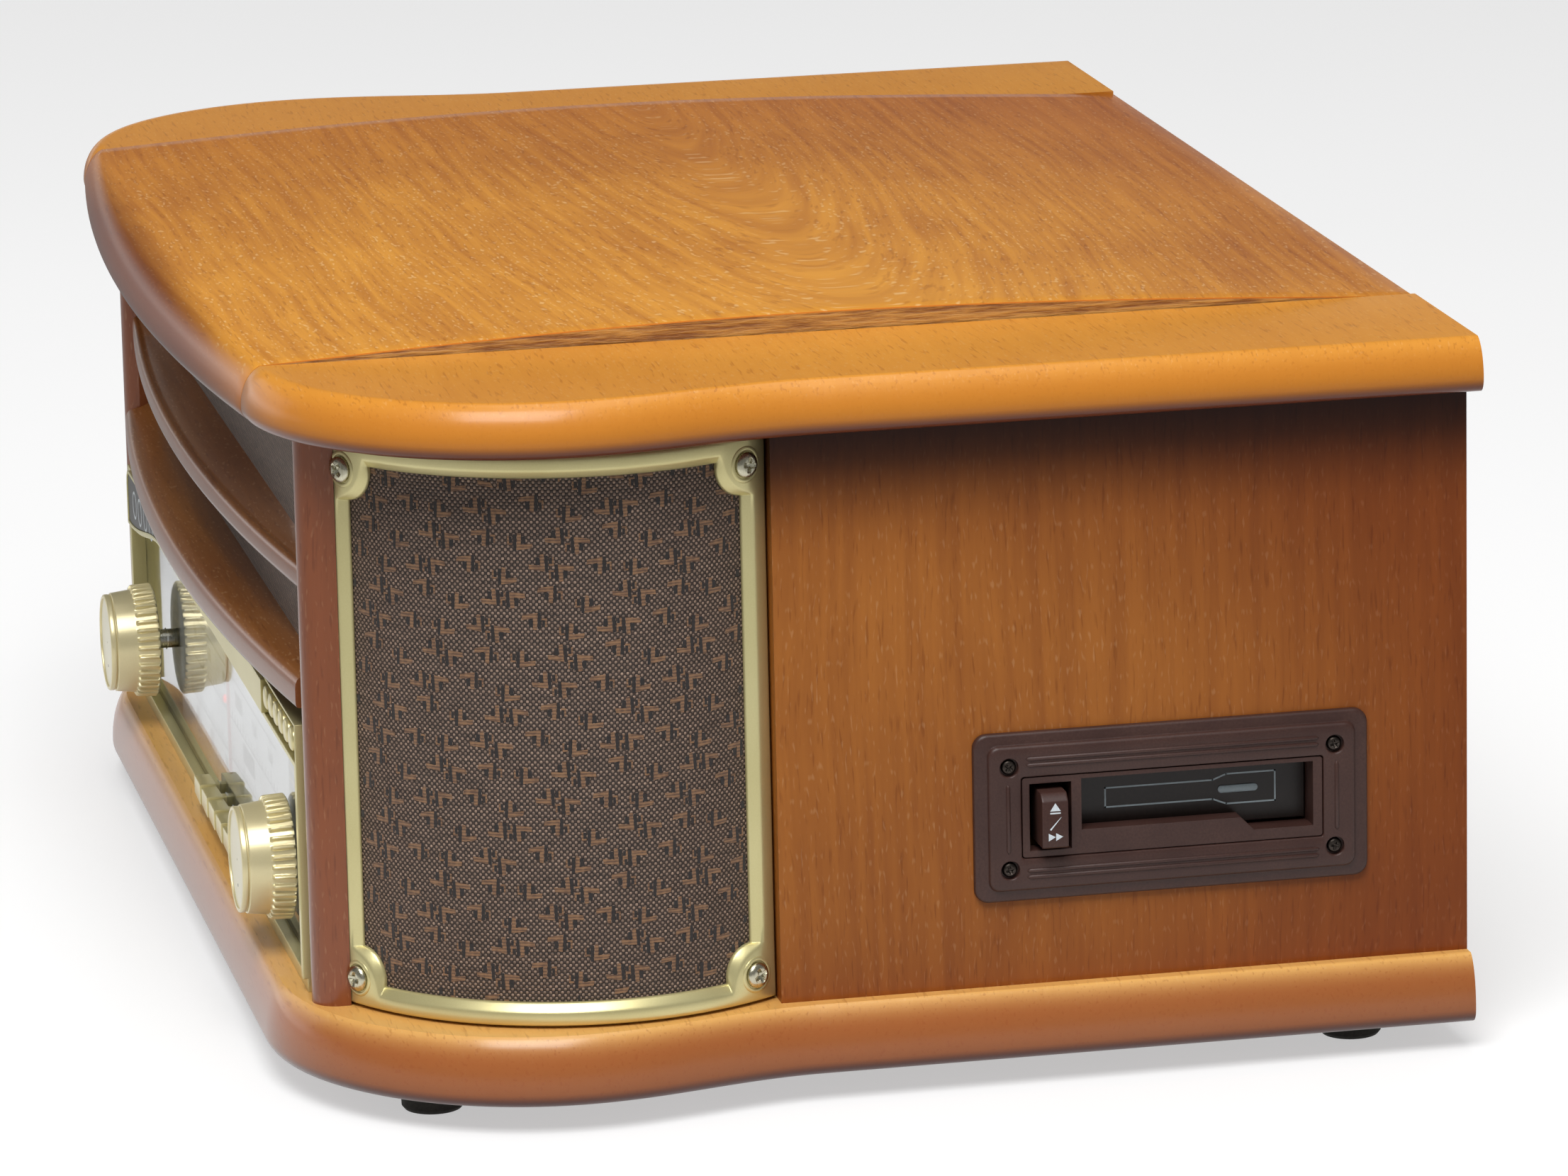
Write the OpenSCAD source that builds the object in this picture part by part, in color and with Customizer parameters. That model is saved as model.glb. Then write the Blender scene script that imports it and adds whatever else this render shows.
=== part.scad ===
// Stereo music centre: a wooden cabinet with a hinged lid over a turntable,
// a cassette slot in the right side, a radio dial with two knobs, a disc drawer
// and rows of sprung buttons in front, and a loudspeaker behind each front corner.
// Frame: origin under the middle of the cabinet on the floor, +Z up, front faces -Y.

/* [Cabinet] */
// Height of the rubber feet
foot_h = 8; // [6:0.5:14]
// Thickness of the base board
base_t = 19.3; // [16:0.1:26]
// Height of the walls between base and top boards
wall_h = 162.9; // [150:0.1:190]
// Thickness of the top rails and of the lid
rail_t = 15; // [13:0.5:20]
// Thickness of the side walls
wall_t = 9; // [6:0.5:12]
// Distance between the outer faces of the side walls
wall_span = 456.2; // [440:0.1:500]
// Depth from the bullnose of the lid to the rear end of the rails
depth = 346; // [336:1:366]
// How far the walls stay in from the rear end of the rails
rear_inset = 1; // [0:0.5:4]
// Thickness of the back panel
back_t = 4; // [3:0.5:6]
// How far the back panel is sunk behind the wall ends
back_sink = 4; // [3:0.5:8]

/* [Boards] */
// How far the bullnose of the top boards stands past their top edge
rail_bulge = 5.7; // [3:0.1:8]
// How far the bullnose of the base stands past its top edge
base_bulge = 5; // [3:0.1:8]
// Half width of the lid opening between the rails
lid_half = 174; // [165:0.5:180]
// Gap between lid and rail
lid_gap = 0.5; // [0.3:0.1:1.5]
// Height of the arch of the lid
lid_arch = 6.4; // [0:0.1:8]
// How far the lid's ends lie under the rails' top
lid_drop = 0.8; // [0:0.1:2]
// Depth of the bow in the front edge of the lid
front_bow = 10.2; // [4:0.1:14]

/* [Loudspeakers] */
// Outer radius of the curved speaker frame
spk_r = 78.25; // [70:0.25:84]
// Thickness of the speaker frame
spk_frame_t = 3; // [2:0.25:4]
// Width of the frame's upright bars
spk_bar_w = 7.8; // [6:0.1:12]
// Width of the frame's level bars
spk_bar_h = 6.4; // [5:0.1:10]
// Radius of the round lobes at the corners of the frame
spk_lobe_r = 8.9; // [7:0.1:11]
// Diameter of the loudspeaker's cone opening
driver_d = 92; // [70:1:96]

/* [Front panel] */
// Half width of the gold front panel
bezel_half = 181; // [176:0.5:182]
// Height of the gold front panel
bezel_h = 77.2; // [70:0.1:80]
// Height of the dial window's upper edge above the base
window_top = 64.5; // [60:0.1:68]
// Diameter of the knobs over their ribs
knob_d = 36; // [34:0.5:40]
// Diameter of the knobs' front face
knob_face_d = 30.4; // [28:0.1:33]
// Length of the knobs
knob_len = 15.5; // [13:0.5:18]
// Half the distance between the knobs
knob_x = 134.4; // [128:0.1:140]
// Diameter of the knob shafts
shaft_d = 6; // [5:0.5:7]
// Number of ribs round a knob
knob_ribs = 38; // [24:1:60]
// Number of push buttons in the lower row
key_count = 5; // [3:1:5]
// Pitch of the lower buttons
key_pitch = 15.4; // [13:0.1:16]
// Number of oval buttons
oval_count = 6; // [3:1:6]
// Pitch of the oval buttons
oval_pitch = 9.6; // [9:0.1:10]
// Travel of all sprung buttons
button_travel = 1.6; // [1:0.1:2]
// Width of the display lens at the left of the drawer
lens_w = 124; // [112:1:130]

/* [Cassette deck] */
// Width of the cassette bezel
cass_w = 113; // [108:0.5:116]
// Height of the cassette bezel
cass_h = 48.2; // [46:0.1:52]
// Middle of the cassette bezel, front to back
cass_y = 86.1; // [80:0.1:90]
// Middle of the cassette bezel, height above the base
cass_z = 48.7; // [44:0.1:60]
// Width of the cassette slot
slot_w = 66.5; // [65:0.1:68]
// Height of the cassette slot
slot_h = 16; // [14:0.1:17]

/* [Turntable] */
// Diameter of the platter
platter_d = 222; // [190:1:240]
// Thickness of the platter's rim
platter_t = 9; // [7:0.5:12]
// Diameter of the record spindle
spindle_d = 7.1; // [7:0.05:7.2]
// Height of the deck plate above the base
deck_h = 120; // [112:0.5:126]
// Distance between the arm's pivot and the spindle
arm_reach = 196; // [190:1:200]

/* [Hidden] */

$fn = 72;
fine = 120;

// Colours, as the photograph shows them
honey_wood = "#c88438";
brown_wood = "#8a5527";
red_wood = "#8a4a26";
gold_paint = "#cfc48a";
dark_cloth = "#3a2c26";
maroon_plastic = "#3d2621";
black_plastic = "#1a1918";
steel = "#b9b9b4";
bare_board = "#a98a5d";

// Gaps between pieces
seat_gap = 0.2;    // between pieces that seat in one another
run_gap = 0.5;     // round pieces that slide
fit_gap = 0.05;    // round a shaft in its bearing

// Heights
base_top = foot_h + base_t;
rail_bottom = base_top + wall_h;
rail_top = rail_bottom + rail_t;
lid_bottom = rail_bottom - lid_drop;

// Front to back
rear_y = depth / 2;
front_y = -depth / 2;
wall_rear_y = rear_y - rear_inset;
back_outer_y = wall_rear_y - back_sink;
back_inner_y = back_outer_y - back_t;

// Side to side
wall_x = wall_span / 2;
wall_in_x = wall_x - wall_t;

// Plan outlines of the boards: a front edge, an elliptical corner, a waist and a straight side
rail_corner = [lid_half - 1.4, front_y + 90.7];
rail_radii = [wall_x + 22.8 - rail_corner.x, rail_corner.y - front_y - front_bow];
rail_side_x = wall_x + 13.4;
base_corner = [rail_corner.x - 5.7, rail_corner.y - 0.7];
base_front_y = front_y + 11.5;
base_radii = [wall_x + 19.8 - base_corner.x, base_corner.y - base_front_y];
base_side_x = wall_x + 8.9;
waist_len = 68;
lip_inset = 3.2;
lip_rise = 4;
bull_end = 74;

// Front: cloth, posts, panel and window are placed back from the front of the lid
cloth_y = front_y + 28.6;
grille_t = 8;
post_x = bezel_half + 9;
post_r = 7;
bar_half = post_x - post_r;
bar_h = 10.6;
bar_bow = 10.8;
lower_bar_z = base_top + 82.5;
upper_bar_z = base_top + 114.9;
lower_bar_y = front_y + 10.4;
upper_bar_y = front_y + 13.8;
bezel_front = front_y + 20.9;
bezel_depth = 18;
bezel_wall = 3.5;
bezel_top = base_top + bezel_h;
ledge_h = 3.9;
ledge_z = base_top + ledge_h;
// How far the ledge under the window stands back from the panel's front
ledge_back = 1.3;
window_y = bezel_front + 4.4;
window_t = 2;
window_z = base_top + window_top;
window_half = bezel_half - bezel_wall;
flange_t = 2;
flange_w = 2;
scale_y = window_y + window_t + seat_gap + flange_t;
scale_t = 1.5;
scale_back = scale_y + scale_t;
scale_z0 = base_top + 17;
scale_z1 = window_z - 9;
knob_z = base_top + 27.2;
// The tuning knob sits nearer to the window than the volume knob
volume_back = window_y - 3.7;
tuning_back = window_y - 0.7;

// The upper strip of the front panel, from left to right
strip_z = window_z + 2.2;
dip_start = -95;
dip_len = window_half + dip_start;
dip_depth = 9.7;
lens_x0 = -window_half + 1.5;
lens_x1 = lens_x0 + lens_w;
lens_top = bezel_top - 4.5;
lens_t = 2;
rim_w = 1.2;
rim_h = 1;
drawer_x0 = lens_x1 + 7;
oval_w = 8.2;
oval_x0 = bezel_half - 1.9 - oval_w / 2 - (oval_count - 1) * oval_pitch;
drawer_w = oval_x0 - 5 - drawer_x0;
drawer_xm = drawer_x0 + drawer_w / 2;
drawer_z0 = window_z + 1.8;
drawer_h = 9.8;
drawer_top = drawer_z0 + drawer_h;
tray_w = 128;
tray_l = 132;
tray_h = 5.5;
tray_z = drawer_z0 + 1.6;
disc_r = 60.7;
oval_h = 6.6;
oval_z = window_z + 7.5;
oval_y = bezel_front - 0.8;
oval_floor = bezel_front + 3.9;
key_x0 = -26.5;
key_z = ledge_z + 1;
key_h = 6.3;
key_y = bezel_front - 2.5;
key_len = 5.1;
// Each key's right end stands a little prouder than its left end
key_gap = 0.1;
key_fall = 0.7;
key_skew = 0.4;
stem_w = 4;
stem_h = 3;

// Speaker corner: an upright cylinder round the panel
spk_axis = [wall_x - 68.3, front_y + 100.9];
// The frame starts beside the corner post and goes round from there
spk_start = -65.1;
spk_span = 101.6;
spk_mid = spk_start + spk_span / 2;
spk_z0 = base_top + 0.7;
spk_z1 = rail_bottom - 1.9;
// The side walls begin where the speaker frames end
wall_front_y = spk_axis.y + spk_r * sin(spk_mid + spk_span / 2) + fit_gap;
spk_cloth_r = spk_r - spk_frame_t - seat_gap;
spk_cloth_t = 1.5;
spk_screw_in = 7.8;
spk_baffle_u = 38;
spk_baffle_t = 9;
spk_z = (spk_z0 + spk_z1) / 2;
screw_d = 3.2;
screw_head_d = 7.4;

// Cassette deck in the right wall
cass_mid = [cass_y, base_top + cass_z];
cass_flange_t = 2;
cass_plate_t = 3.4;
cass_face_x = wall_x + cass_plate_t;
insert_w = 86;
insert_h = 22.8;
slot_y = cass_y + 7.1;
slot_top = cass_mid.y + 10.2;
slot_bottom = slot_top - slot_h - 2.5;
notch_w = 17;
notch_step = 3.8;
lever_y = cass_y - 35;
lever_w = 7.5;
lever_h = 15.5;
lever_out = 8.8;
lever_travel = 6;
flap_t = 1.2;
flap_x = wall_x - 5;
flap_pin_r = 1;
flap_pin_z = slot_top + 1.9;
box_wall = 1.5;
box_in_x = wall_x - 100;
box_h = 25.5;

// Turntable
deck_z = base_top + deck_h;
deck_t = 3;
spindle = [-22, 10];
platter_z = deck_z + 4.7;
mat_t = 2.4;
hub_r = 64.5;
hub_gap = 1.7;
pulley_r = 6;
pulley_at = [spindle.x - 65, spindle.y + 65];
belt_gap = 0.3;
belt_t = 0.8;
belt_h = 2.2;
arm_turn = [lid_half - 24, spindle.y + 95];
arm_z = platter_z + 20;
arm_len = arm_reach;

// Lid hinge
pin_y = rear_y - 2.5;
pin_z = lid_bottom - 3;
knuckle_r = 2.3;
pin_r = 1.2;
knuckle_l = 12;
hinge_x = 110;
strap_t = 1.2;

// Profile of a moulded board edge: [inset from the widest line, height above the underside]
function edge_profile(t, bulge) = concat(
    [for (a = [0:30:90]) [lip_inset * (1 - sin(a)), lip_rise * (1 - cos(a))]],
    [for (a = [bull_end / 5:bull_end / 5:bull_end])
        [bulge * (1 - cos(a)) / (1 - cos(bull_end)),
         lip_rise + (t - lip_rise) * sin(a) / sin(bull_end)]]);

// Right half of a board's outline, from the corner round to the rear
function corner_side(i, c, r, side_x, y_end, a0) = concat(
    [for (a = [a0:7.5:0]) [c.x + (r.x - i) * cos(a), c.y + (r.y - i) * sin(a)]],
    [for (t = [0.125:0.125:1])
        [side_x - i + (c.x + r.x - side_x) * (1 + cos(180 * t)) / 2, c.y + waist_len * t]],
    [[side_x - i, y_end]]);

function mirrored(pts) = [for (k = [len(pts) - 1:-1:0]) [-pts[k].x, pts[k].y]];
function lifted(pts, z) = [for (p = pts) [p.x, p.y, z]];

// Joins a stack of rings with equal numbers of points into one solid
module skin(rings) {
    n = len(rings[0]);
    m = len(rings);
    polyhedron(
        points = [for (r = rings) each r],
        faces = concat(
            [[for (j = [0:n - 1]) j]],
            [[for (j = [n - 1:-1:0]) (m - 1) * n + j]],
            [for (i = [0:m - 2]) for (j = [0:n - 1]) let (a = i * n + j, b = i * n + (j + 1) % n)
                each [[a, b + n, b], [a, a + n, b + n]]]),
        convexity = 6);
}

module turned_y(at) {
    translate(at) rotate([90, 0, 0]) children();
}

module mirror_x() {
    mirror([1, 0, 0]) children();
}

// Wooden boards

module base_board() {
    color(red_wood)
    skin([for (p = edge_profile(base_t, base_bulge))
        let (half = corner_side(p.x, base_corner, base_radii, base_side_x, wall_rear_y, -90))
        lifted(concat(half, mirrored(half)), foot_h + p.y)]);
}

function rail_ring(p) = lifted(concat(
    [[lid_half, front_y + front_bow + p.x]],
    corner_side(p.x, rail_corner, rail_radii, rail_side_x, rear_y, -82.5),
    [[lid_half, rear_y]]), rail_bottom + p.y);

module top_rail_right() {
    color(honey_wood)
    skin([for (p = edge_profile(rail_t, rail_bulge)) rail_ring(p)]);
}

module top_rail_left() {
    mirror_x() top_rail_right();
}

function arch_at(y) = lid_arch * max(0, sin(180 * (y - front_y) / depth));
// Steps from front to rear in the lid's arch
lid_steps = 11;

function bow_at(x) = front_bow * pow(x / lid_half, 2);

function lid_section(x) =
    let (
        y0 = front_y + bow_at(x),
        edge = edge_profile(rail_t, rail_bulge),
        last = len(edge) - 1,
        under = [for (k = [0:lid_steps]) [y0 + lip_inset + (rear_y - y0 - lip_inset) * k / lid_steps, 0]],
        over = [for (t = [1:-1 / lid_steps:-0.001])
            [y0 + rail_bulge + (rear_y - y0 - rail_bulge) * t, rail_t]],
        nose = [for (k = [last - 1:-1:1]) [y0 + edge[k].x, edge[k].y]])
    [for (q = concat(under, over, nose)) [x, q.x, lid_bottom + q.y + arch_at(q.x)]];

// The lid's sections run across it, and each end is closed by strips from its underside to its top
module lid() {
    half = lid_half - lid_gap;
    sections = [for (x = [-half:half / 4.5:half + 0.01]) lid_section(x)];
    n = len(sections[0]);
    m = len(sections);
    top = 2 * lid_steps + 1;
    ends = concat(
        [for (k = [0:lid_steps - 1]) each [[k, k + 1, top - k - 1], [k, top - k - 1, top - k]]],
        [for (k = [top:n - 2]) [0, k, k + 1]]);
    color(honey_wood)
    polyhedron(
        points = [for (s = sections) each s],
        faces = concat(
            ends,
            [for (f = ends) [for (j = [2:-1:0]) (m - 1) * n + f[j]]],
            [for (i = [0:m - 2]) for (j = [0:n - 1]) let (a = i * n + j, b = i * n + (j + 1) % n)
                each [[a, b + n, b], [a, a + n, b + n]]]),
        convexity = 6);
}

module side_wall() {
    batten = 10;
    color(brown_wood) {
        translate([wall_in_x, wall_front_y, base_top])
            cube([wall_t, wall_rear_y - wall_front_y, wall_h]);
        translate([wall_in_x - batten, wall_front_y + 6, deck_z - deck_t - batten])
            cube([batten + 0.5, back_inner_y - wall_front_y - 8, batten]);
    }
}

module side_wall_right() {
    hole = [insert_w + 2, insert_h + 8.4];
    difference() {
        side_wall();
        translate([wall_in_x - 1, cass_y - hole.x / 2, cass_mid.y - hole.y / 2])
            cube([wall_t + 2, hole.x, hole.y]);
        at_cassette_screws() translate([0, 0, -7]) cylinder(r = 1.25, h = 10, $fn = 24);
    }
}

module side_wall_left() {
    mirror_x() side_wall();
}

module back_panel() {
    vent_count = 9;
    vent_l = 44;
    color(bare_board)
    difference() {
        translate([-wall_in_x, back_inner_y, base_top])
            cube([2 * wall_in_x, back_t, pin_z - knuckle_r - base_top + 2]);
        for (i = [0:vent_count - 1])
            translate([40 + i * 9, back_inner_y - 1, base_top + 60])
                cube([4, back_t + 2, vent_l]);
        inlet_hole();
    }
}

module corner_post_right() {
    color(red_wood)
    difference() {
        translate([post_x, cloth_y + 0.3, base_top])
            linear_extrude(wall_h)
                union() {
                    circle(r = post_r, $fn = fine);
                    translate([-post_r, 0]) square([2 * post_r, 6]);
                }
        translate([spk_axis.x, spk_axis.y, base_top - 1])
            cylinder(r = spk_r + seat_gap, h = wall_h + 2, $fn = fine);
        // Room for the heads of the frame's screws
        speaker_place() screw_holes(screw_head_d + 2 * seat_gap);
    }
}

module corner_post_left() {
    mirror_x() corner_post_right();
}

module grille_panel() {
    batten = 10;
    z0 = bezel_top + seat_gap;
    color(dark_cloth)
    translate([-bar_half, cloth_y, z0])
        cube([2 * bar_half, grille_t, lid_bottom - seat_gap - z0]);
    color(bare_board)
    translate([-170, cloth_y + grille_t - 0.5, deck_z - deck_t - batten])
        cube([340, batten, batten]);
}

// A bowed slat between the posts, with a rounded front
function bar_section(x, y, z) =
    let (
        y0 = y + bar_bow * pow(x / bar_half, 2),
        nose = [[1.4, 0], [0.4, 0.4], [0, 1.4], [0, 4], [0.5, 7], [1.4, 9.2], [2.6, bar_h]])
    [for (q = concat([for (k = [6:-1:0]) [y0 + nose[k].x, nose[k].y]],
        [[cloth_y, 0], [cloth_y, bar_h]])) [x, q.x, z + q.y]];

module bar(y, z) {
    color(red_wood)
    skin([for (x = [-bar_half:bar_half / 10:bar_half + 0.01]) bar_section(x, y, z)]);
}

module upper_bar() {
    bar(upper_bar_y, upper_bar_z);
}

module lower_bar() {
    bar(lower_bar_y, lower_bar_z);
}

// Loudspeakers behind the rounded front corners

// Puts children in the speaker's own frame: X outward, Y along the panel
module speaker_place() {
    translate([spk_axis.x, spk_axis.y, 0]) rotate([0, 0, spk_mid]) children();
}

// A sector of an upright tube, centred on the speaker's direction
module sector(r0, r1, span, z0, z1) {
    rotate([0, 0, -span / 2])
        translate([0, 0, z0])
            rotate_extrude(angle = span, $fn = fine)
                translate([r0, 0]) square([r1 - r0, z1 - z0]);
}

screw_turn = spk_span / 2 - spk_screw_in / spk_r * 180 / PI;
screw_z = [spk_z0 + spk_screw_in, spk_z1 - spk_screw_in];

// Puts children on each screw's axis, pointing outward
module at_speaker_screws() {
    for (a = [-screw_turn, screw_turn], z = screw_z)
        rotate([0, 0, a]) translate([0, 0, z]) rotate([0, 90, 0]) children();
}

module screw_holes(d) {
    at_speaker_screws() cylinder(r = d / 2, h = spk_r + 10, $fn = 24);
}

module speaker_frame_right() {
    bar_turn = 2 * spk_bar_w / spk_r * 180 / PI;
    r0 = spk_r - spk_frame_t;
    color(gold_paint)
    speaker_place()
    difference() {
        sector(r0, spk_r, spk_span, spk_z0, spk_z1);
        difference() {
            sector(r0 - 1, spk_r + 1, spk_span - bar_turn, spk_z0 + spk_bar_h, spk_z1 - spk_bar_h);
            at_speaker_screws() cylinder(r = spk_lobe_r, h = spk_r + 5);
        }
        screw_holes(screw_d + 0.3);
    }
}

module speaker_frame_left() {
    mirror_x() speaker_frame_right();
}

module speaker_cloth_right() {
    color(dark_cloth)
    speaker_place()
    difference() {
        sector(spk_cloth_r - spk_cloth_t, spk_cloth_r, spk_span - 2, spk_z0 + 0.5, spk_z1 + 1);
        screw_holes(screw_d + 0.3);
    }
}

module speaker_cloth_left() {
    mirror_x() speaker_cloth_right();
}

module speaker_baffle_right() {
    color(bare_board)
    speaker_place()
    difference() {
        translate([spk_baffle_u, -54, base_top]) cube([spk_baffle_t, 111, wall_h]);
        translate([0, 0, spk_z]) rotate([0, 90, 0]) cylinder(r = driver_d / 2, h = 60);
        screw_holes(screw_d);
    }
}

module speaker_baffle_left() {
    mirror_x() speaker_baffle_right();
}

module speaker_frame_screw() {
    head_h = 1.9;
    shank = 21;
    difference() {
        union() {
            translate([0, 0, spk_r]) cylinder(r = screw_head_d / 2, h = head_h * 0.45, $fn = 48);
            translate([0, 0, spk_r + head_h * 0.45])
                cylinder(r = screw_head_d / 2 - 0.9, h = head_h * 0.55, $fn = 48);
            translate([0, 0, spk_r - shank]) cylinder(r = screw_d / 2 - 0.05, h = shank, $fn = 24);
        }
        for (a = [45, 135])
            translate([0, 0, spk_r + head_h]) rotate([0, 0, a]) cube([4, 0.9, 2], center = true);
    }
}

module speaker_frame_screws() {
    color(steel)
    for (side = [0, 1])
        mirror([side, 0, 0]) speaker_place() at_speaker_screws() speaker_frame_screw();
}

module loudspeaker_right() {
    rim = driver_d / 2;
    color(black_plastic)
    speaker_place()
    translate([spk_baffle_u, 0, spk_z])
    rotate([0, -90, 0])
    rotate_extrude($fn = fine)
        polygon([[0, 14], [10, 12], [14, 15], [rim - 9, 3], [rim - 5, 0.5], [rim - 1, 3],
            [rim - 0.5, 0], [rim + 4, 0], [rim + 4, 2.4], [rim - 1, 5.5], [rim - 12, 20],
            [31, 24], [31, 37], [0, 37]]);
}

module loudspeaker_left() {
    mirror_x() loudspeaker_right();
}

// Gold front panel, dial and buttons

// How far the window's upper edge falls towards the left end
function dip_at(x) = x < dip_start ? dip_depth * (1 - cos(180 * min(1, (dip_start - x) / dip_len))) / 2 : 0;

// Extrudes an outline in X and Z from y0 back to y1
module front_plate(y0, y1) {
    translate([0, y1, 0]) rotate([90, 0, 0]) linear_extrude(y1 - y0) children();
}

module oval_shape(grow) {
    scale_x = (oval_h / 2 + grow);
    hull_gap = (oval_w - oval_h) / 2;
    for (s = [-1, 1]) translate([s * hull_gap, 0]) circle(r = scale_x, $fn = 40);
    square([2 * hull_gap, 2 * scale_x], center = true);
}

module at_ovals() {
    for (i = [0:oval_count - 1]) translate([oval_x0 + i * oval_pitch, 0, oval_z]) children();
}

module lens_outline(inset) {
    polygon(concat(
        [for (x = [lens_x0 + inset:(lens_x1 - lens_x0 - 2 * inset) / 20:lens_x1 - inset + 0.001])
            [x, strip_z + inset - dip_at(x)]],
        [[lens_x1 - inset, lens_top - inset],
         for (a = [90:30:180]) [lens_x0 + 4 + (4 - inset) * cos(a), lens_top - 4 + (4 - inset) * sin(a)]]));
}

// The window's outline in X and Z, shrunk by a margin
module window_outline(margin) {
    half = window_half - margin;
    top = window_z - margin;
    polygon(concat([[half, ledge_z + margin], [half, top]],
        [for (x = [half - half / 20:-half / 20:0.5 - half]) [x, top - dip_at(x)]],
        [[-half, top - dip_at(-half)], [-half, ledge_z + margin]]));
}

module front_bezel() {
    back = bezel_front + bezel_depth;
    color(gold_paint)
    difference() {
        union() {
            translate([-bezel_half, bezel_front, base_top])
                cube([2 * bezel_half, bezel_depth, bezel_h]);
            front_plate(bezel_front - rim_h, bezel_front + 0.5) lens_outline(-rim_w);
        }
        translate([-bezel_half - 1, bezel_front - 1, base_top - 1])
            cube([2 * bezel_half + 2, 1 + ledge_back, ledge_h + 1]);
        // The opening in front of the window, and the seat of the window itself
        front_plate(bezel_front - 1, window_y + window_t) window_outline(0);
        // Behind the window only a flange is left round the edge
        front_plate(window_y, scale_y + 1) window_outline(flange_w);
        // The shell is hollow behind the flange
        translate([-window_half, scale_y, ledge_z])
            cube([2 * window_half, bezel_depth, bezel_top - 2 - ledge_z]);
        // Pocket of the display lens
        front_plate(bezel_front - 2, bezel_front + lens_t) lens_outline(-seat_gap);
        translate([-bezel_half - 1, bezel_front - 2, lens_top + rim_w])
            cube([bezel_half - 48, 6, 10]);
        // Way of the disc drawer
        translate([drawer_x0 - run_gap, bezel_front - 1, drawer_z0 - run_gap])
            cube([drawer_w + 2 * run_gap, 4, drawer_h + 2 * run_gap]);
        translate([drawer_xm - tray_w / 2 - run_gap, bezel_front - 1, tray_z - run_gap])
            cube([tray_w + 2 * run_gap, 30, tray_h + 2 * run_gap]);
        // Pocket and stem holes of the oval buttons
        translate([oval_x0 - oval_w / 2 - 1.2, bezel_front - 1, drawer_z0 - run_gap])
            cube([bezel_half - 1.4 - oval_x0 + oval_w / 2 + 1.2, oval_floor - bezel_front + 1,
                drawer_h + 2 * run_gap]);
        at_ovals() translate([-stem_w / 2 - 0.3, 0, -stem_h / 2 - 0.3])
            translate([0, bezel_front, 0]) cube([stem_w + 0.6, 12, stem_h + 0.6]);
    }
}

module at_knobs() {
    for (s = [-1, 1]) translate([s * knob_x, 0, knob_z]) children();
}

module at_keys() {
    for (i = [0:key_count - 1])
        translate([key_x0 + (i + 0.5) * key_pitch, 0, key_z]) children();
}

module dial_window() {
    color("#cfd6d8", 0.4)
    difference() {
        front_plate(window_y, window_y + window_t) window_outline(seat_gap);
        at_knobs() turned_y([0, window_y + window_t + 1, 0]) cylinder(r = shaft_d / 2 + 0.5, h = 5);
        at_keys() translate([-stem_w / 2 - 0.3, window_y - 1, key_h / 2 - stem_h / 2 - 0.3])
            cube([stem_w + 0.6, 5, stem_h + 0.6]);
    }
}

rod_y = scale_back + 4.5;
rod_z = scale_z1 + 3;
rod_r = 1.2;
pointer_run = 85;

module dial_scale() {
    color("#e8dfc4")
    difference() {
        union() {
            front_plate(scale_y, scale_y + scale_t) window_outline(0.5);
            for (s = [-1, 1])
                translate([s * (pointer_run + 14) - 1.5, scale_back - 0.2, rod_z - 4])
                    cube([3, 8, 6.5]);
            translate([-pointer_run - 14, rod_y, rod_z]) rotate([0, 90, 0])
                cylinder(r = rod_r, h = 2 * pointer_run + 28, $fn = 36);
        }
        translate([-pointer_run - 6, scale_y - 1, rod_z - 2.6])
            cube([2 * pointer_run + 12, scale_t + 2, 5.2]);
        at_knobs() turned_y([0, scale_back + 1, 0]) cylinder(r = shaft_d / 2 + 0.5, h = 5);
        at_keys() translate([-stem_w / 2 - 0.3, scale_y - 1, key_h / 2 - stem_h / 2 - 0.3])
            cube([stem_w + 0.6, 5, stem_h + 0.6]);
    }
}

module dial_pointer() {
    needle_y = window_y + window_t + 0.7;
    color("#b5301f")
    difference() {
        union() {
            translate([-0.6, needle_y, scale_z0]) cube([1.2, 0.8, rod_z + 1.2 - scale_z0]);
            translate([-1.5, needle_y, rod_z - 1.2]) cube([3, rod_y - needle_y, 2.4]);
            translate([-4, rod_y - 2.5, rod_z - 2.5]) cube([8, 5, 5]);
        }
        translate([-5, rod_y, rod_z]) rotate([0, 90, 0]) cylinder(r = rod_r + fit_gap, h = 10, $fn = 36);
    }
}

module display_lens() {
    color(black_plastic)
    front_plate(bezel_front - rim_h + 0.3, bezel_front + lens_t) lens_outline(0);
}

module disc_drawer() {
    y0 = bezel_front - rim_h;
    tray_y = y0 + 3;
    color(gold_paint)
    translate([drawer_x0, y0, drawer_z0]) cube([drawer_w, 3, drawer_h]);
    color(black_plastic)
    difference() {
        translate([drawer_xm - tray_w / 2, tray_y - 0.2, tray_z]) cube([tray_w, tray_l, tray_h]);
        translate([drawer_xm, tray_y + 4 + disc_r, tray_z + tray_h - 2]) cylinder(r = disc_r, h = 5, $fn = fine);
        translate([drawer_xm - 18, tray_y + 4 + disc_r - 18, tray_z - 1]) cube([36, disc_r + 30, tray_h + 2]);
    }
}

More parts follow.
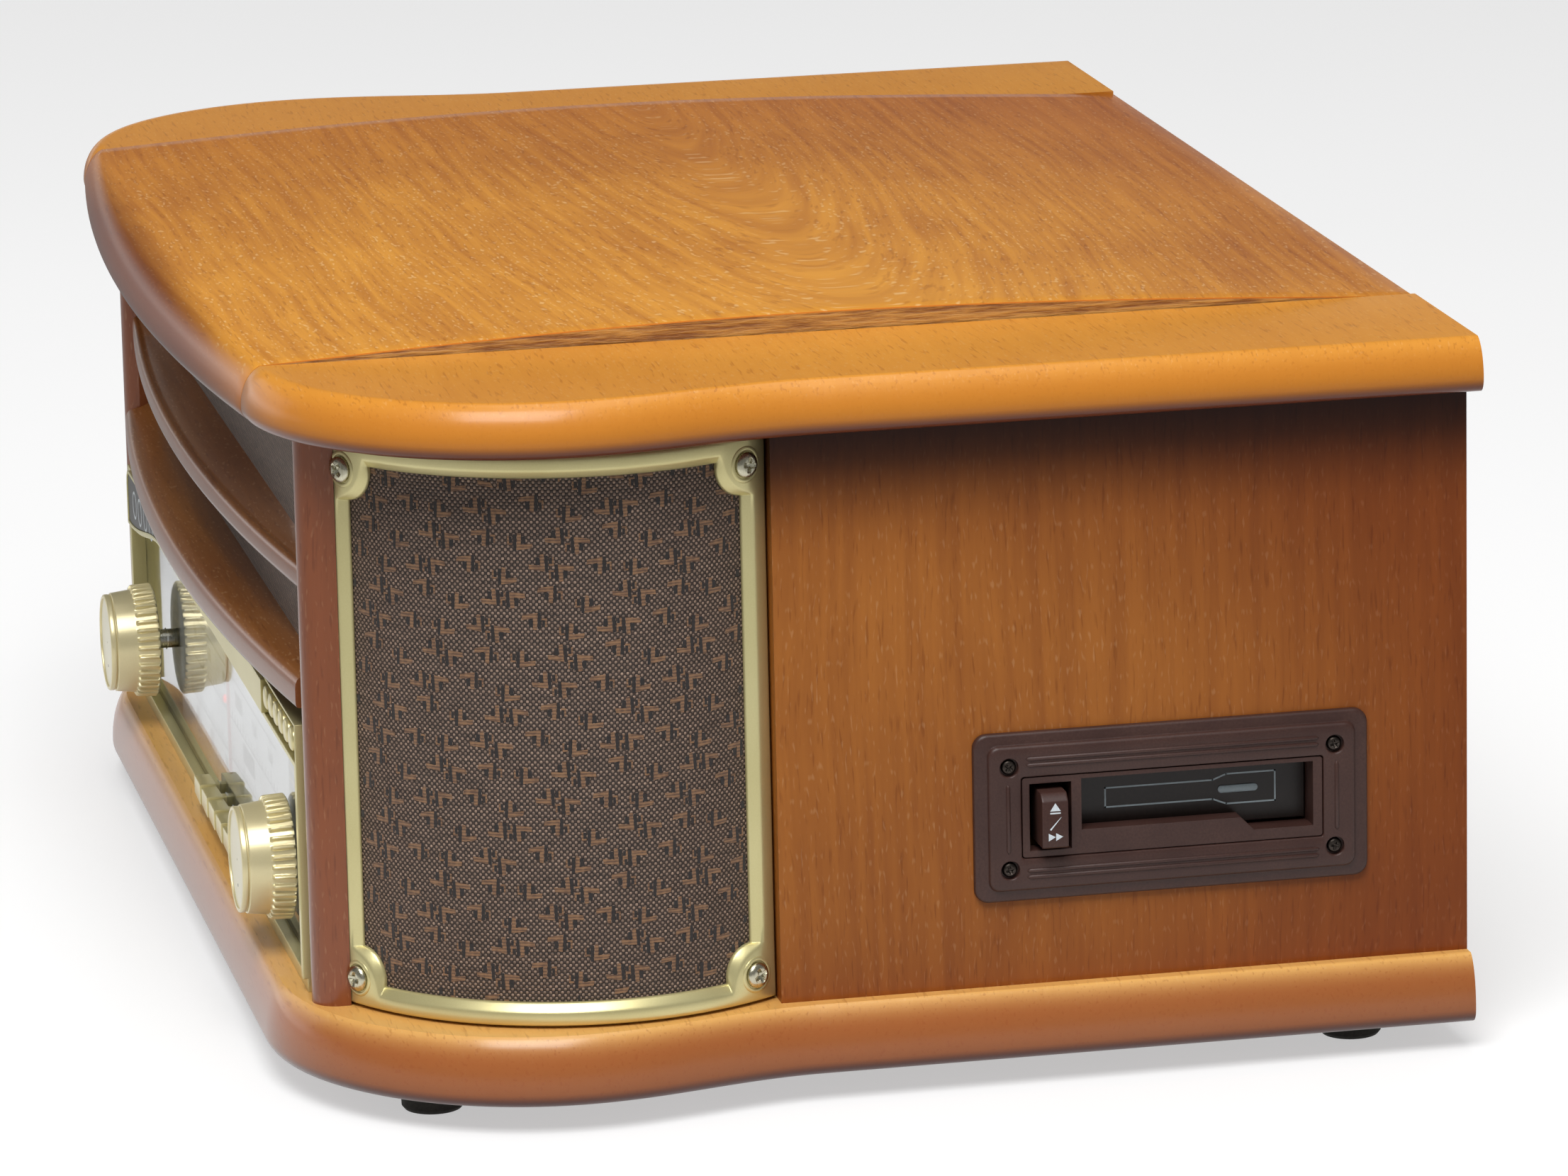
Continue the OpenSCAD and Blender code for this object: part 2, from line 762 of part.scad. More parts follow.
module disc_mechanism() {
    wall = 3;
    y0 = bezel_front + bezel_depth + 2;
    len_y = tray_l - 8;
    x0 = drawer_xm - tray_w / 2 - run_gap - wall;
    wide = tray_w + 2 * (run_gap + wall);
    z0 = tray_z - run_gap - wall - 5;
    color(steel) {
        difference() {
            translate([x0, y0, z0]) cube([wide, len_y, tray_h + 2 * run_gap + wall + 5]);
            translate([x0 + wall, y0 - 1, z0 + wall + 5]) cube([wide - 2 * wall, len_y + 2, 40]);
        }
        translate([x0, y0 + len_y / 2 - 10, tray_z + tray_h + run_gap]) cube([wide, 20, wall]);
        for (x = [x0, x0 + wide - 8], y = [y0, y0 + len_y - 8])
            translate([x, y, base_top]) cube([8, 8, z0 - base_top + 0.5]);
    }
}

// A sprung push button with its stem through the window
module push_button(i) {
    stem_l = scale_back + 3 - (key_y + key_len);
    color(gold_paint)
    translate([key_x0 + (i - 1) * key_pitch, key_y, key_z]) {
        skin([for (e = [[key_gap, key_skew, key_h - key_fall], [key_pitch - key_gap, 0, key_h]])
            [[e.x, key_len, 0], [e.x, key_len, e.z], [e.x, e.y, e.z], [e.x, e.y, 0]]]);
        translate([key_pitch / 2 - stem_w / 2, key_len - 0.5, key_h / 2 - stem_h / 2])
            cube([stem_w, stem_l + 0.5, stem_h]);
    }
}

module oval_button(i) {
    color(gold_paint)
    translate([oval_x0 + (i - 1) * oval_pitch, oval_y, oval_z]) {
        turned_y([0, 2.8, 0]) linear_extrude(2.8) oval_shape(0);
        translate([-stem_w / 2, 2.5, -stem_h / 2]) cube([stem_w, 9, stem_h]);
    }
}

// A tapered knob with ribs round its rear half and a thin groove behind its cap
module knob(s, back) {
    rib_h = 0.9;
    rib_w = 1;
    rib_l = 7.2;
    cap_t = 1.8;
    groove = 0.3;
    sunk = 0.6;
    rim = 1.2;
    rear_r = knob_d / 2 - rib_h;
    face_r = knob_face_d / 2;
    shaft_end = scale_back + 11;
    color(gold_paint)
    translate([s * knob_x, back, knob_z])
    rotate([90, 0, 0])
    difference() {
        union() {
            rotate_extrude($fn = fine)
                polygon([[0, 0], [rear_r, 0], [face_r + groove, knob_len - cap_t - groove],
                    [face_r - groove, knob_len - cap_t - groove], [face_r - groove, knob_len - cap_t],
                    [face_r + groove, knob_len - cap_t], [face_r, knob_len - 0.4],
                    [face_r - 0.4, knob_len], [face_r - rim, knob_len],
                    [face_r - rim, knob_len - sunk], [0, knob_len - sunk]]);
            for (a = [0:360 / knob_ribs:359.9])
                rotate([0, 0, a]) translate([rear_r - 1.2, -rib_w / 2, 0.4]) cube([rib_h + 1.2, rib_w, rib_l]);
            translate([0, 0, back - shaft_end]) cylinder(r = shaft_d / 2, h = shaft_end - back + 1);
        }
        translate([0, 0, -0.1])
            difference() {
                cylinder(r = rear_r - 3, h = 4);
                translate([0, 0, -1]) cylinder(r = shaft_d / 2 + 2.5, h = 6);
            }
        // Pointer dimple in the face
        translate([0, -face_r / 2, knob_len - sunk - 0.4]) cylinder(r = 0.5, h = 1, $fn = 24);
    }
}

module volume_knob() {
    knob(-1, volume_back);
}

module tuning_knob() {
    knob(1, tuning_back);
}

module knob_controls() {
    color("#6b6f72")
    difference() {
        union() {
            at_knobs() turned_y([0, scale_back + 13, 0]) cylinder(r = 12, h = 13);
            at_knobs() translate([-9, scale_back + 6, -19]) cube([18, 2, 12]);
        }
        at_knobs() turned_y([0, scale_back + 11.5, 0]) cylinder(r = shaft_d / 2 + fit_gap, h = 20);
    }
}

// Cassette deck

// A rounded plate on the side wall, outline in Y and Z
module wall_plate(x0, x1, w, h, r) {
    translate([x0, cass_mid.x, cass_mid.y])
        rotate([90, 0, 90])
            linear_extrude(x1 - x0)
                union() {
                    square([w - 2 * r, h], center = true);
                    square([w, h - 2 * r], center = true);
                    for (a = [-1, 1], b = [-1, 1])
                        translate([a * (w / 2 - r), b * (h / 2 - r)]) circle(r = r, $fn = 40);
                }
}

cass_screw_w = 93.3;
cass_screw_h = 29.4;

module at_cassette_screws() {
    for (a = [-1, 1], b = [-1, 1])
        translate([wall_x, cass_mid.x + a * cass_screw_w / 2, cass_mid.y + b * cass_screw_h / 2])
            rotate([0, 90, 0]) children();
}

module cassette_bezel() {
    margin_w = 3.9;
    margin_h = 3.35;
    rib = 0.7;
    color(maroon_plastic)
    difference() {
        union() {
            wall_plate(wall_x, wall_x + cass_flange_t, cass_w, cass_h, 4);
            wall_plate(wall_x, cass_face_x, cass_w - 2 * margin_w, cass_h - 2 * margin_h, 3);
            for (s = [-1, 1]) {
                for (d = [15.1, 16.9])
                    translate([cass_face_x - 0.3, cass_y - 42, cass_mid.y + s * d - rib / 2])
                        cube([0.8, 84, rib]);
                translate([cass_face_x - 0.3, cass_y + s * 47.1 - 0.6, cass_mid.y - 10])
                    cube([0.8, 1.2, 20]);
            }
        }
        wall_plate(wall_x - 1, cass_face_x + 3, insert_w + 2 * seat_gap, insert_h + 2 * seat_gap, 1);
        at_cassette_screws() cylinder(r = 1.3, h = 10, $fn = 24);
        at_cassette_screws() translate([0, 0, cass_plate_t - 1.6]) cylinder(r = 2.7, h = 4, $fn = 40);
    }
}

module cassette_screws() {
    color("#4a4540")
    at_cassette_screws()
    difference() {
        union() {
            translate([0, 0, cass_plate_t - 1.6]) cylinder(r = 2.15, h = 1.1, $fn = 40);
            translate([0, 0, -6]) cylinder(r = 1.2, h = 8, $fn = 24);
        }
        for (a = [0, 90]) rotate([0, 0, a + 30]) translate([0, 0, cass_plate_t - 0.4]) cube([2.6, 0.6, 1.2], center = true);
    }
}

// The slot, its lower right corner cut deeper for the thick edge of a cassette
module slot_cut(x0, x1) {
    y0 = slot_y - slot_w / 2;
    lip = slot_bottom + notch_step;
    translate([x0, 0, 0]) rotate([90, 0, 90]) linear_extrude(x1 - x0)
        polygon([[y0, lip], [y0 + slot_w - notch_w - notch_step, lip],
            [y0 + slot_w - notch_w, slot_bottom], [y0 + slot_w, slot_bottom],
            [y0 + slot_w, slot_top], [y0, slot_top]]);
}

module cassette_mechanism() {
    face_x = cass_face_x - 0.3;
    front_x = wall_x - 1.5;
    y0 = slot_y - slot_w / 2 - box_wall;
    wide = slot_w + 2 * box_wall;
    z0 = slot_bottom - box_wall - 0.4;
    color(maroon_plastic)
    difference() {
        wall_plate(front_x - 1.5, face_x, insert_w, insert_h, 0.8);
        slot_cut(front_x - 3, face_x + 1);
        translate([front_x - 3, lever_y - lever_w / 2 - 2.2, cass_mid.y - 9.6]) cube([20, lever_w + 4.4, 19.2]);
    }
    color(steel) {
        difference() {
            translate([box_in_x, y0, z0]) cube([front_x - 1.4 - box_in_x, wide, box_h]);
            translate([box_in_x + box_wall, y0 + box_wall, z0 + box_wall])
                cube([100, slot_w, box_h - 2 * box_wall]);
            translate([flap_x - flap_t / 2, y0 + 0.4, flap_pin_z])
                rotate([-90, 0, 0]) cylinder(r = flap_pin_r + fit_gap, h = wide - 0.8, $fn = 36);
        }
        difference() {
            translate([lever_x_back() + 4, lever_y - 5, cass_mid.y - 5])
                cube([6, y0 - lever_y + 5.4, 10]);
            translate([0, lever_y - 2 - 0.3, cass_mid.y - 3 - 0.3]) cube([400, 4.6, 6.6]);
        }
        translate([box_in_x + 50, slot_y, z0 - 10]) cylinder(r = 22, h = 10.2);
        for (y = [y0, y0 + wide - 8])
            translate([box_in_x + 6, y, base_top]) cube([8, 8, z0 - base_top + 0.3]);
    }
}

function lever_x_back() = wall_x - 34;

module cassette_flap() {
    h = flap_pin_z - slot_bottom;
    color(black_plastic) {
        translate([flap_x - flap_t, slot_y - slot_w / 2 + 0.4, slot_bottom + 0.6])
            cube([flap_t, slot_w - 0.8, h - 0.6]);
        translate([flap_x - flap_t / 2, slot_y - slot_w / 2 - 0.6, flap_pin_z])
            rotate([-90, 0, 0]) cylinder(r = flap_pin_r, h = slot_w + 1.2, $fn = 36);
    }
}

module cassette_lever() {
    front = wall_x + lever_out;
    z0 = cass_mid.y - lever_h / 2;
    color(maroon_plastic) {
        translate([0, lever_y + lever_w / 2, 0]) rotate([90, 0, 0]) linear_extrude(lever_w)
            polygon([[front - 14, z0], [front, z0], [front, z0 + lever_h - 2.2],
                [front - 2.2, z0 + lever_h], [front - 14, z0 + lever_h]]);
        translate([lever_x_back(), lever_y - 2, cass_mid.y - 3]) cube([front - 13 - lever_x_back(), 4, 6]);
    }
}

// Turntable under the lid

module turntable_deck() {
    step_y = -20;
    color("#26231f")
    difference() {
        union() {
            translate([0, 0, deck_z - deck_t]) linear_extrude(deck_t)
                polygon([[-178, cloth_y + grille_t + seat_gap], [178, cloth_y + grille_t + seat_gap],
                    [178, step_y], [wall_in_x - seat_gap, step_y],
                    [wall_in_x - seat_gap, back_inner_y - seat_gap],
                    [-wall_in_x + seat_gap, back_inner_y - seat_gap],
                    [-wall_in_x + seat_gap, step_y], [-178, step_y]]);
            translate([spindle.x, spindle.y, deck_z - deck_t - 18]) cylinder(r = 8, h = 18.5);
            translate([arm_turn.x, arm_turn.y, deck_z - 0.2]) cylinder(r = 15, h = 5.2);
            // The arm's rest, a post with a flat top
            translate([arm_turn.x - 4, arm_turn.y - 130, deck_z - 0.2]) cube([8, 8, arm_z - 3.3 - deck_z + 0.2]);
        }
        translate([spindle.x, spindle.y, deck_z - deck_t - 20])
            cylinder(r = spindle_d / 2 + fit_gap, h = 40);
        translate([pulley_at.x, pulley_at.y, deck_z - deck_t - 1]) cylinder(r = 4, h = deck_t + 2);
        translate([arm_turn.x, arm_turn.y, deck_z - deck_t - 1]) cylinder(r = 4 + fit_gap, h = 20);
        difference() {
            translate([spindle.x, spindle.y, deck_z - 0.8]) cylinder(r = platter_d / 2 + 5, h = 1, $fn = fine);
            translate([spindle.x, spindle.y, deck_z - 1]) cylinder(r = platter_d / 2 - 6, h = 2, $fn = fine);
        }
    }
}

module platter() {
    color("#3a3836")
    translate([spindle.x, spindle.y, 0]) {
        difference() {
            translate([0, 0, platter_z]) rotate_extrude($fn = fine)
                polygon([[0, 0], [platter_d / 2 - 2, 0], [platter_d / 2, 2], [platter_d / 2, platter_t - 1.5],
                    [platter_d / 2 - 1.5, platter_t], [platter_d / 2 - 6, platter_t],
                    [platter_d / 2 - 7, platter_t - 0.8], [0, platter_t - 0.8]]);
            translate([0, 0, platter_z - 1])
                difference() {
                    cylinder(r = platter_d / 2 - 5, h = 4.5, $fn = fine);
                    translate([0, 0, -1]) cylinder(r = hub_r, h = 8, $fn = fine);
                }
        }
        translate([0, 0, deck_z + hub_gap]) cylinder(r = hub_r, h = platter_z - deck_z - hub_gap + 0.2, $fn = fine);
        translate([0, 0, deck_z - deck_t - 16]) cylinder(r = spindle_d / 2, h = platter_z + platter_t + 8 - deck_z + deck_t + 16);
        translate([0, 0, platter_z + platter_t + 7.9]) cylinder(r1 = spindle_d / 2, r2 = 1.2, h = 2.4);
    }
}

module platter_mat() {
    color("#171514")
    translate([spindle.x, spindle.y, platter_z + platter_t - 0.8])
    difference() {
        cylinder(r = platter_d / 2 - 7.4, h = mat_t, $fn = fine);
        translate([0, 0, -1]) cylinder(r = spindle_d / 2 + 0.3, h = mat_t + 2);
        for (r = [30:14:96])
            translate([0, 0, mat_t - 0.5])
                difference() {
                    cylinder(r = r + 1, h = 2, $fn = fine);
                    translate([0, 0, -1]) cylinder(r = r, h = 4, $fn = fine);
                }
    }
}

module turntable_motor() {
    color(steel)
    translate([pulley_at.x, pulley_at.y, deck_z - deck_t - 26])
    difference() {
        union() {
            cylinder(r = 17.5, h = 26);
            translate([-24, -6, 24]) cube([48, 12, 2]);
        }
        translate([0, 0, 6]) cylinder(r = 1 + fit_gap, h = 30, $fn = 36);
    }
}

module motor_pulley() {
    color("#c9a55a")
    translate([pulley_at.x, pulley_at.y, 0]) {
        translate([0, 0, deck_z + 0.8]) cylinder(r = pulley_r, h = 3.4);
        translate([0, 0, deck_z - deck_t - 16]) cylinder(r = 1, h = deck_t + 17, $fn = 36);
    }
}

module belt_loop(grow) {
    hull() {
        translate(spindle) circle(r = hub_r + grow, $fn = 96);
        translate(pulley_at) circle(r = pulley_r + grow, $fn = 48);
    }
}

module drive_belt() {
    color(black_plastic)
    translate([0, 0, deck_z + hub_gap + 0.1])
    linear_extrude(belt_h)
    difference() {
        belt_loop(belt_gap + belt_t);
        belt_loop(belt_gap);
    }
}

module tonearm_pivot() {
    color("#b8b4ab")
    translate([arm_turn.x, arm_turn.y, 0])
    difference() {
        union() {
            translate([0, 0, deck_z + 5.1]) cylinder(r = 12, h = 3);
            translate([0, 0, deck_z - deck_t - 4]) cylinder(r = 4, h = deck_t + 10);
            for (s = [-1, 1]) translate([s * 9 - 1.5, -7, deck_z + 8]) cube([3, 14, arm_z - deck_z - 3]);
        }
        translate([-20, 0, arm_z]) rotate([0, 90, 0]) cylinder(r = 1.5 + fit_gap, h = 40, $fn = 36);
    }
}

module tonearm() {
    tube_r = 3;
    color("#d4d0c8")
    translate([arm_turn.x, arm_turn.y, arm_z]) {
        rotate([90, 0, 0]) cylinder(r = tube_r, h = arm_len);
        translate([-6, -8, -4.2]) cube([12, 16, 8.4]);
        translate([-10.4, 0, 0]) rotate([0, 90, 0]) cylinder(r = 1.5, h = 20.8, $fn = 36);
        rotate([-90, 0, 0]) cylinder(r = 2.2, h = 30);
        translate([0, 18, 0]) rotate([-90, 0, 0]) cylinder(r = 7, h = 14);
        // Head shell with its cartridge and stylus
        translate([-9, -arm_len - 24, -1.5]) cube([18, 28, 3]);
        translate([-6, -arm_len - 20, -5.5]) cube([12, 16, 4.2]);
        translate([0, -arm_len - 18, -7]) cylinder(r1 = 0.5, r2 = 1, h = 2, $fn = 24);
        translate([8.8, -arm_len - 22, -0.6]) cube([7, 3, 1.2]);
    }
}

module amplifier_board() {
    board = [150, 110];
    at = [-150, 30];
    z0 = base_top + 8;
    color("#3f6b46") translate([at.x, at.y, z0]) cube([board.x, board.y, 1.6]);
    color(steel) {
        for (x = [6, board.x - 6], y = [6, board.y - 6])
            translate([at.x + x, at.y + y, base_top]) cylinder(r = 3, h = 8.2);
        translate([at.x + 12, at.y + 20, z0 + 1.4]) cube([56, 46, 42]);
        for (i = [0:6]) translate([at.x + 84 + i * 8, at.y + 84, z0 + 1.4]) cube([3, 18, 30]);
    }
    color(black_plastic)
    for (x = [86, 104, 122]) translate([at.x + x, at.y + 30, z0 + 1.4]) cylinder(r = 6.3, h = 22);
}

inlet_x = -160;
inlet_z = 26;

module inlet_hole() {
    translate([inlet_x - 11, back_inner_y - 1, base_top + inlet_z - 8]) cube([22, back_t + 2, 16]);
}

module mains_inlet() {
    color(black_plastic)
    translate([inlet_x, 0, base_top + inlet_z])
    difference() {
        union() {
            translate([-10.8, back_inner_y - 12, -7.8]) cube([21.6, back_t + 12.5, 15.6]);
            translate([-14, back_outer_y, -11]) cube([28, 1.8, 22]);
        }
        for (s = [-1, 1]) turned_y([s * 4, back_outer_y + 3, 0]) cylinder(r = 4.3, h = 10);
        translate([-4, back_outer_y - 7, -2.6]) cube([8, 10, 5.2]);
    }
}

foot_x = wall_x - 19;
foot_front_y = -121;
foot_rear_y = 143;

module rubber_feet() {
    color("#4a4845")
    for (x = [-foot_x, foot_x], y = [foot_front_y, foot_rear_y])
        translate([x, y, 0]) rotate_extrude()
            polygon([[0, 0], [8, 0], [8.8, 1], [9.2, foot_h], [0, foot_h]]);
}

module lid_hinge_leaves() {
    color(steel)
    difference() {
        union()
        for (s = [-1, 1]) translate([s * hinge_x, 0, 0]) {
            translate([-1.5 * knuckle_l, back_outer_y, pin_z - 26]) cube([3 * knuckle_l, strap_t, 24]);
            for (k = [-1, 1]) {
                translate([k * knuckle_l - knuckle_l / 2 + 0.15, pin_y, pin_z])
                    rotate([0, 90, 0]) cylinder(r = knuckle_r, h = knuckle_l - 0.3);
                translate([k * knuckle_l - knuckle_l / 2 + 0.15, back_outer_y, pin_z - 3])
                    cube([knuckle_l - 0.3, strap_t, 3]);
            }
            translate([-1.5 * knuckle_l + 0.3, pin_y, pin_z]) rotate([0, 90, 0]) cylinder(r = pin_r, h = 3 * knuckle_l - 0.6, $fn = 36);
        }
        for (s = [-1, 1]) translate([s * hinge_x - knuckle_l / 2 - 0.15, back_outer_y - 1, pin_z - 2.6 - knuckle_r])
            difference() {
                cube([knuckle_l + 0.3, 9, 12]);
                translate([-1, pin_y - back_outer_y + 1, 2.6 + knuckle_r]) rotate([0, 90, 0]) cylinder(r = pin_r, h = knuckle_l + 3, $fn = 36);
            }
    }
}

module lid_hinge_straps() {
    color(steel)
    for (s = [-1, 1]) translate([s * hinge_x, 0, 0])
    difference() {
        union() {
            translate([-knuckle_l / 2 + 0.15, pin_y, pin_z])
                rotate([0, 90, 0]) cylinder(r = knuckle_r, h = knuckle_l - 0.3);
            translate([-knuckle_l / 2 + 0.15, pin_y - 5, lid_bottom - strap_t])
                cube([knuckle_l - 0.3, 5, strap_t]);
            translate([-1.5 * knuckle_l, 0, lid_bottom]) rotate([90, 0, 90]) linear_extrude(3 * knuckle_l)
                polygon(concat([[pin_y - 26, -strap_t], [pin_y - 4.8, -strap_t]],
                    [for (d = [4.8:5.3:26]) [pin_y - d, arch_at(pin_y - d) - fit_gap]]));
        }
        translate([-knuckle_l, pin_y, pin_z]) rotate([0, 90, 0]) cylinder(r = pin_r + fit_gap, h = 2 * knuckle_l, $fn = 36);
    }
}

base_board();
side_wall_right();
side_wall_left();
back_panel();
top_rail_right();
top_rail_left();
lid();
lid_hinge_leaves();
lid_hinge_straps();
corner_post_right();
corner_post_left();
grille_panel();
upper_bar();
lower_bar();
speaker_baffle_right();
speaker_baffle_left();
speaker_cloth_right();
speaker_cloth_left();
speaker_frame_right();
speaker_frame_left();
speaker_frame_screws();
loudspeaker_right();
loudspeaker_left();
front_bezel();
dial_window();
dial_scale();
dial_pointer();
display_lens();
disc_drawer();
disc_mechanism();
volume_knob();
tuning_knob();
knob_controls();
cassette_bezel();
cassette_screws();
cassette_flap();
cassette_lever();
cassette_mechanism();
turntable_deck();
platter();
platter_mat();
turntable_motor();
motor_pulley();
drive_belt();
tonearm_pivot();
tonearm();
amplifier_board();
mains_inlet();
rubber_feet();
for (i = [1:key_count])
    push_button(i);
for (i = [1:oval_count])
    oval_button(i);
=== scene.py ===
"""Stereo music centre: its looks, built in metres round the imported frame.

The cabinet's boards, speaker corners, knobs and cassette bezel are rebuilt with finer meshes than
the solids have, and every other solid keeps its shape and gets a finish of its own.
"""

import logging
import math
from dataclasses import dataclass, field
from enum import Enum
from typing import Callable, Sequence

import bmesh
import bpy
from mathutils import Matrix, Vector


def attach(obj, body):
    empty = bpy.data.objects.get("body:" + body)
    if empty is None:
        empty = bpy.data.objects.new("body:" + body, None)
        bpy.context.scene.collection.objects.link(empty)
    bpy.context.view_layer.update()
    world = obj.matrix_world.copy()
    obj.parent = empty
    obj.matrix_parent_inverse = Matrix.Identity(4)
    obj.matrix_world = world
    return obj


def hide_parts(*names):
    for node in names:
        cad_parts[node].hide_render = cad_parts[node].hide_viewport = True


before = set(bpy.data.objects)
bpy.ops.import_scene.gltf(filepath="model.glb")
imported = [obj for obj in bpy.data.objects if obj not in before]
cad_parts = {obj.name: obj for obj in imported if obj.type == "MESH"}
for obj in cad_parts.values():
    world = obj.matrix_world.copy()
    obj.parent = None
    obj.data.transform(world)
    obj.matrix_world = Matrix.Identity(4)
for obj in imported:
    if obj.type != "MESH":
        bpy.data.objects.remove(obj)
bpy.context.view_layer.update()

MM = 0.001
LOG = logging.getLogger("music_centre")

Point2 = tuple[float, float]
Point3 = tuple[float, float, float]
Colour = tuple[float, float, float, float]


def srgb(text: str) -> Colour:
    """Turns an sRGB hex colour into Blender's linear colour.

    Args:
        text: the colour, such as "#c88438".

    Returns:
        Linear red, green and blue, and an alpha of 1.
    """
    parts = [int(text[i:i + 2], 16) / 255 for i in (1, 3, 5)]
    linear = [c / 12.92 if c <= 0.04045 else ((c + 0.055) / 1.055) ** 2.4 for c in parts]
    return (linear[0], linear[1], linear[2], 1.0)


def add_node(tree: bpy.types.NodeTree, kind: str, settings: dict | None = None,
             inputs: dict | None = None) -> bpy.types.Node:
    """Adds one node, sets its properties and fills or links its inputs.

    Args:
        tree: the node tree.
        kind: the node's type name.
        settings: property values by name.
        inputs: input values by name or number; a socket is linked, and anything else is set.

    Returns:
        The new node.
    """
    made = tree.nodes.new(kind)
    for name, value in (settings or {}).items():
        setattr(made, name, value)
    for key, value in (inputs or {}).items():
        if isinstance(value, bpy.types.NodeSocket):
            tree.links.new(value, made.inputs[key])
        else:
            made.inputs[key].default_value = value
    return made


class Axis(Enum):
    """Direction that a board's grain runs in, with the order of coordinates along it and across."""

    X = ("X", "Y", "Z")
    Y = ("Y", "X", "Z")
    Z = ("Z", "Y", "X")


class Figure(Enum):
    """How a veneer was cut, as how fast its growth rings close along the grain."""

    FLAMED = 0.13
    STRAIGHT = 0.0


# Finishes


@dataclass(frozen=True)
class Finish:
    """What all finishes share: a name and the look of a plain shader."""

    name: str

    def material(self) -> bpy.types.Material:
        """Gives the finish's material, made the first time it is asked for.

        Returns:
            The material.
        """
        found = bpy.data.materials.get(self.name)
        if found:
            return found
        made = bpy.data.materials.new(self.name)
        made.use_nodes = True
        shader = made.node_tree.nodes["Principled BSDF"]
        self.dress(made.node_tree, shader)
        return made

    def dress(self, tree: bpy.types.NodeTree, shader: bpy.types.Node) -> None:
        """Fills the tree; each finish has its own."""
        raise NotImplementedError

    @staticmethod
    def millimetres(tree: bpy.types.NodeTree) -> bpy.types.NodeSocket:
        """The point on the piece, in millimetres, in the object's own frame.

        Args:
            tree: the node tree.

        Returns:
            The point's socket.
        """
        place = add_node(tree, "ShaderNodeTexCoord")
        scaled = add_node(tree, "ShaderNodeVectorMath", {"operation": "SCALE"},
                          {0: place.outputs["Object"], "Scale": 1000.0})
        return scaled.outputs[0]

    @staticmethod
    def rounded(tree: bpy.types.NodeTree, radius: float) -> bpy.types.NodeSocket:
        """A normal that softens the sharp edges of a machined or moulded solid.

        Args:
            tree: the node tree.
            radius: the edge radius in millimetres.

        Returns:
            The normal's socket.
        """
        edge = add_node(tree, "ShaderNodeBevel", {"samples": 4}, {"Radius": radius * MM})
        return edge.outputs[0]


@dataclass(frozen=True)
class StainAndPaintedShade:
    """Darker colour away from a bright middle: painted shade, in places with a shaded stain."""

    centre: Point3
    reach: Point3
    tint: str
    start: float = 0.35
    end: float = 1.15

    def over(self, tree: bpy.types.NodeTree, point: bpy.types.NodeSocket,
             colour: bpy.types.NodeSocket) -> bpy.types.NodeSocket:
        """Darkens a colour away from the middle.

        Args:
            tree: the node tree.
            point: the point on the piece, in millimetres.
            colour: the colour so far.

        Returns:
            The shaded colour's socket.
        """
        off = add_node(tree, "ShaderNodeVectorMath", {"operation": "SUBTRACT"},
                       {0: point, 1: self.centre})
        share = add_node(tree, "ShaderNodeVectorMath", {"operation": "DIVIDE"},
                         {0: off.outputs[0], 1: self.reach})
        away = add_node(tree, "ShaderNodeVectorMath", {"operation": "LENGTH"},
                        {0: share.outputs[0]})
        amount = add_node(tree, "ShaderNodeMapRange", {"interpolation_type": "SMOOTHSTEP"},
                          {0: away.outputs["Value"], 1: self.start, 2: self.end, 3: 0.0, 4: 1.0})
        shaded = add_node(tree, "ShaderNodeMix", {"data_type": "RGBA", "blend_type": "MULTIPLY"},
                          {0: amount.outputs[0], 6: colour, 7: srgb(self.tint)})
        return shaded.outputs[2]


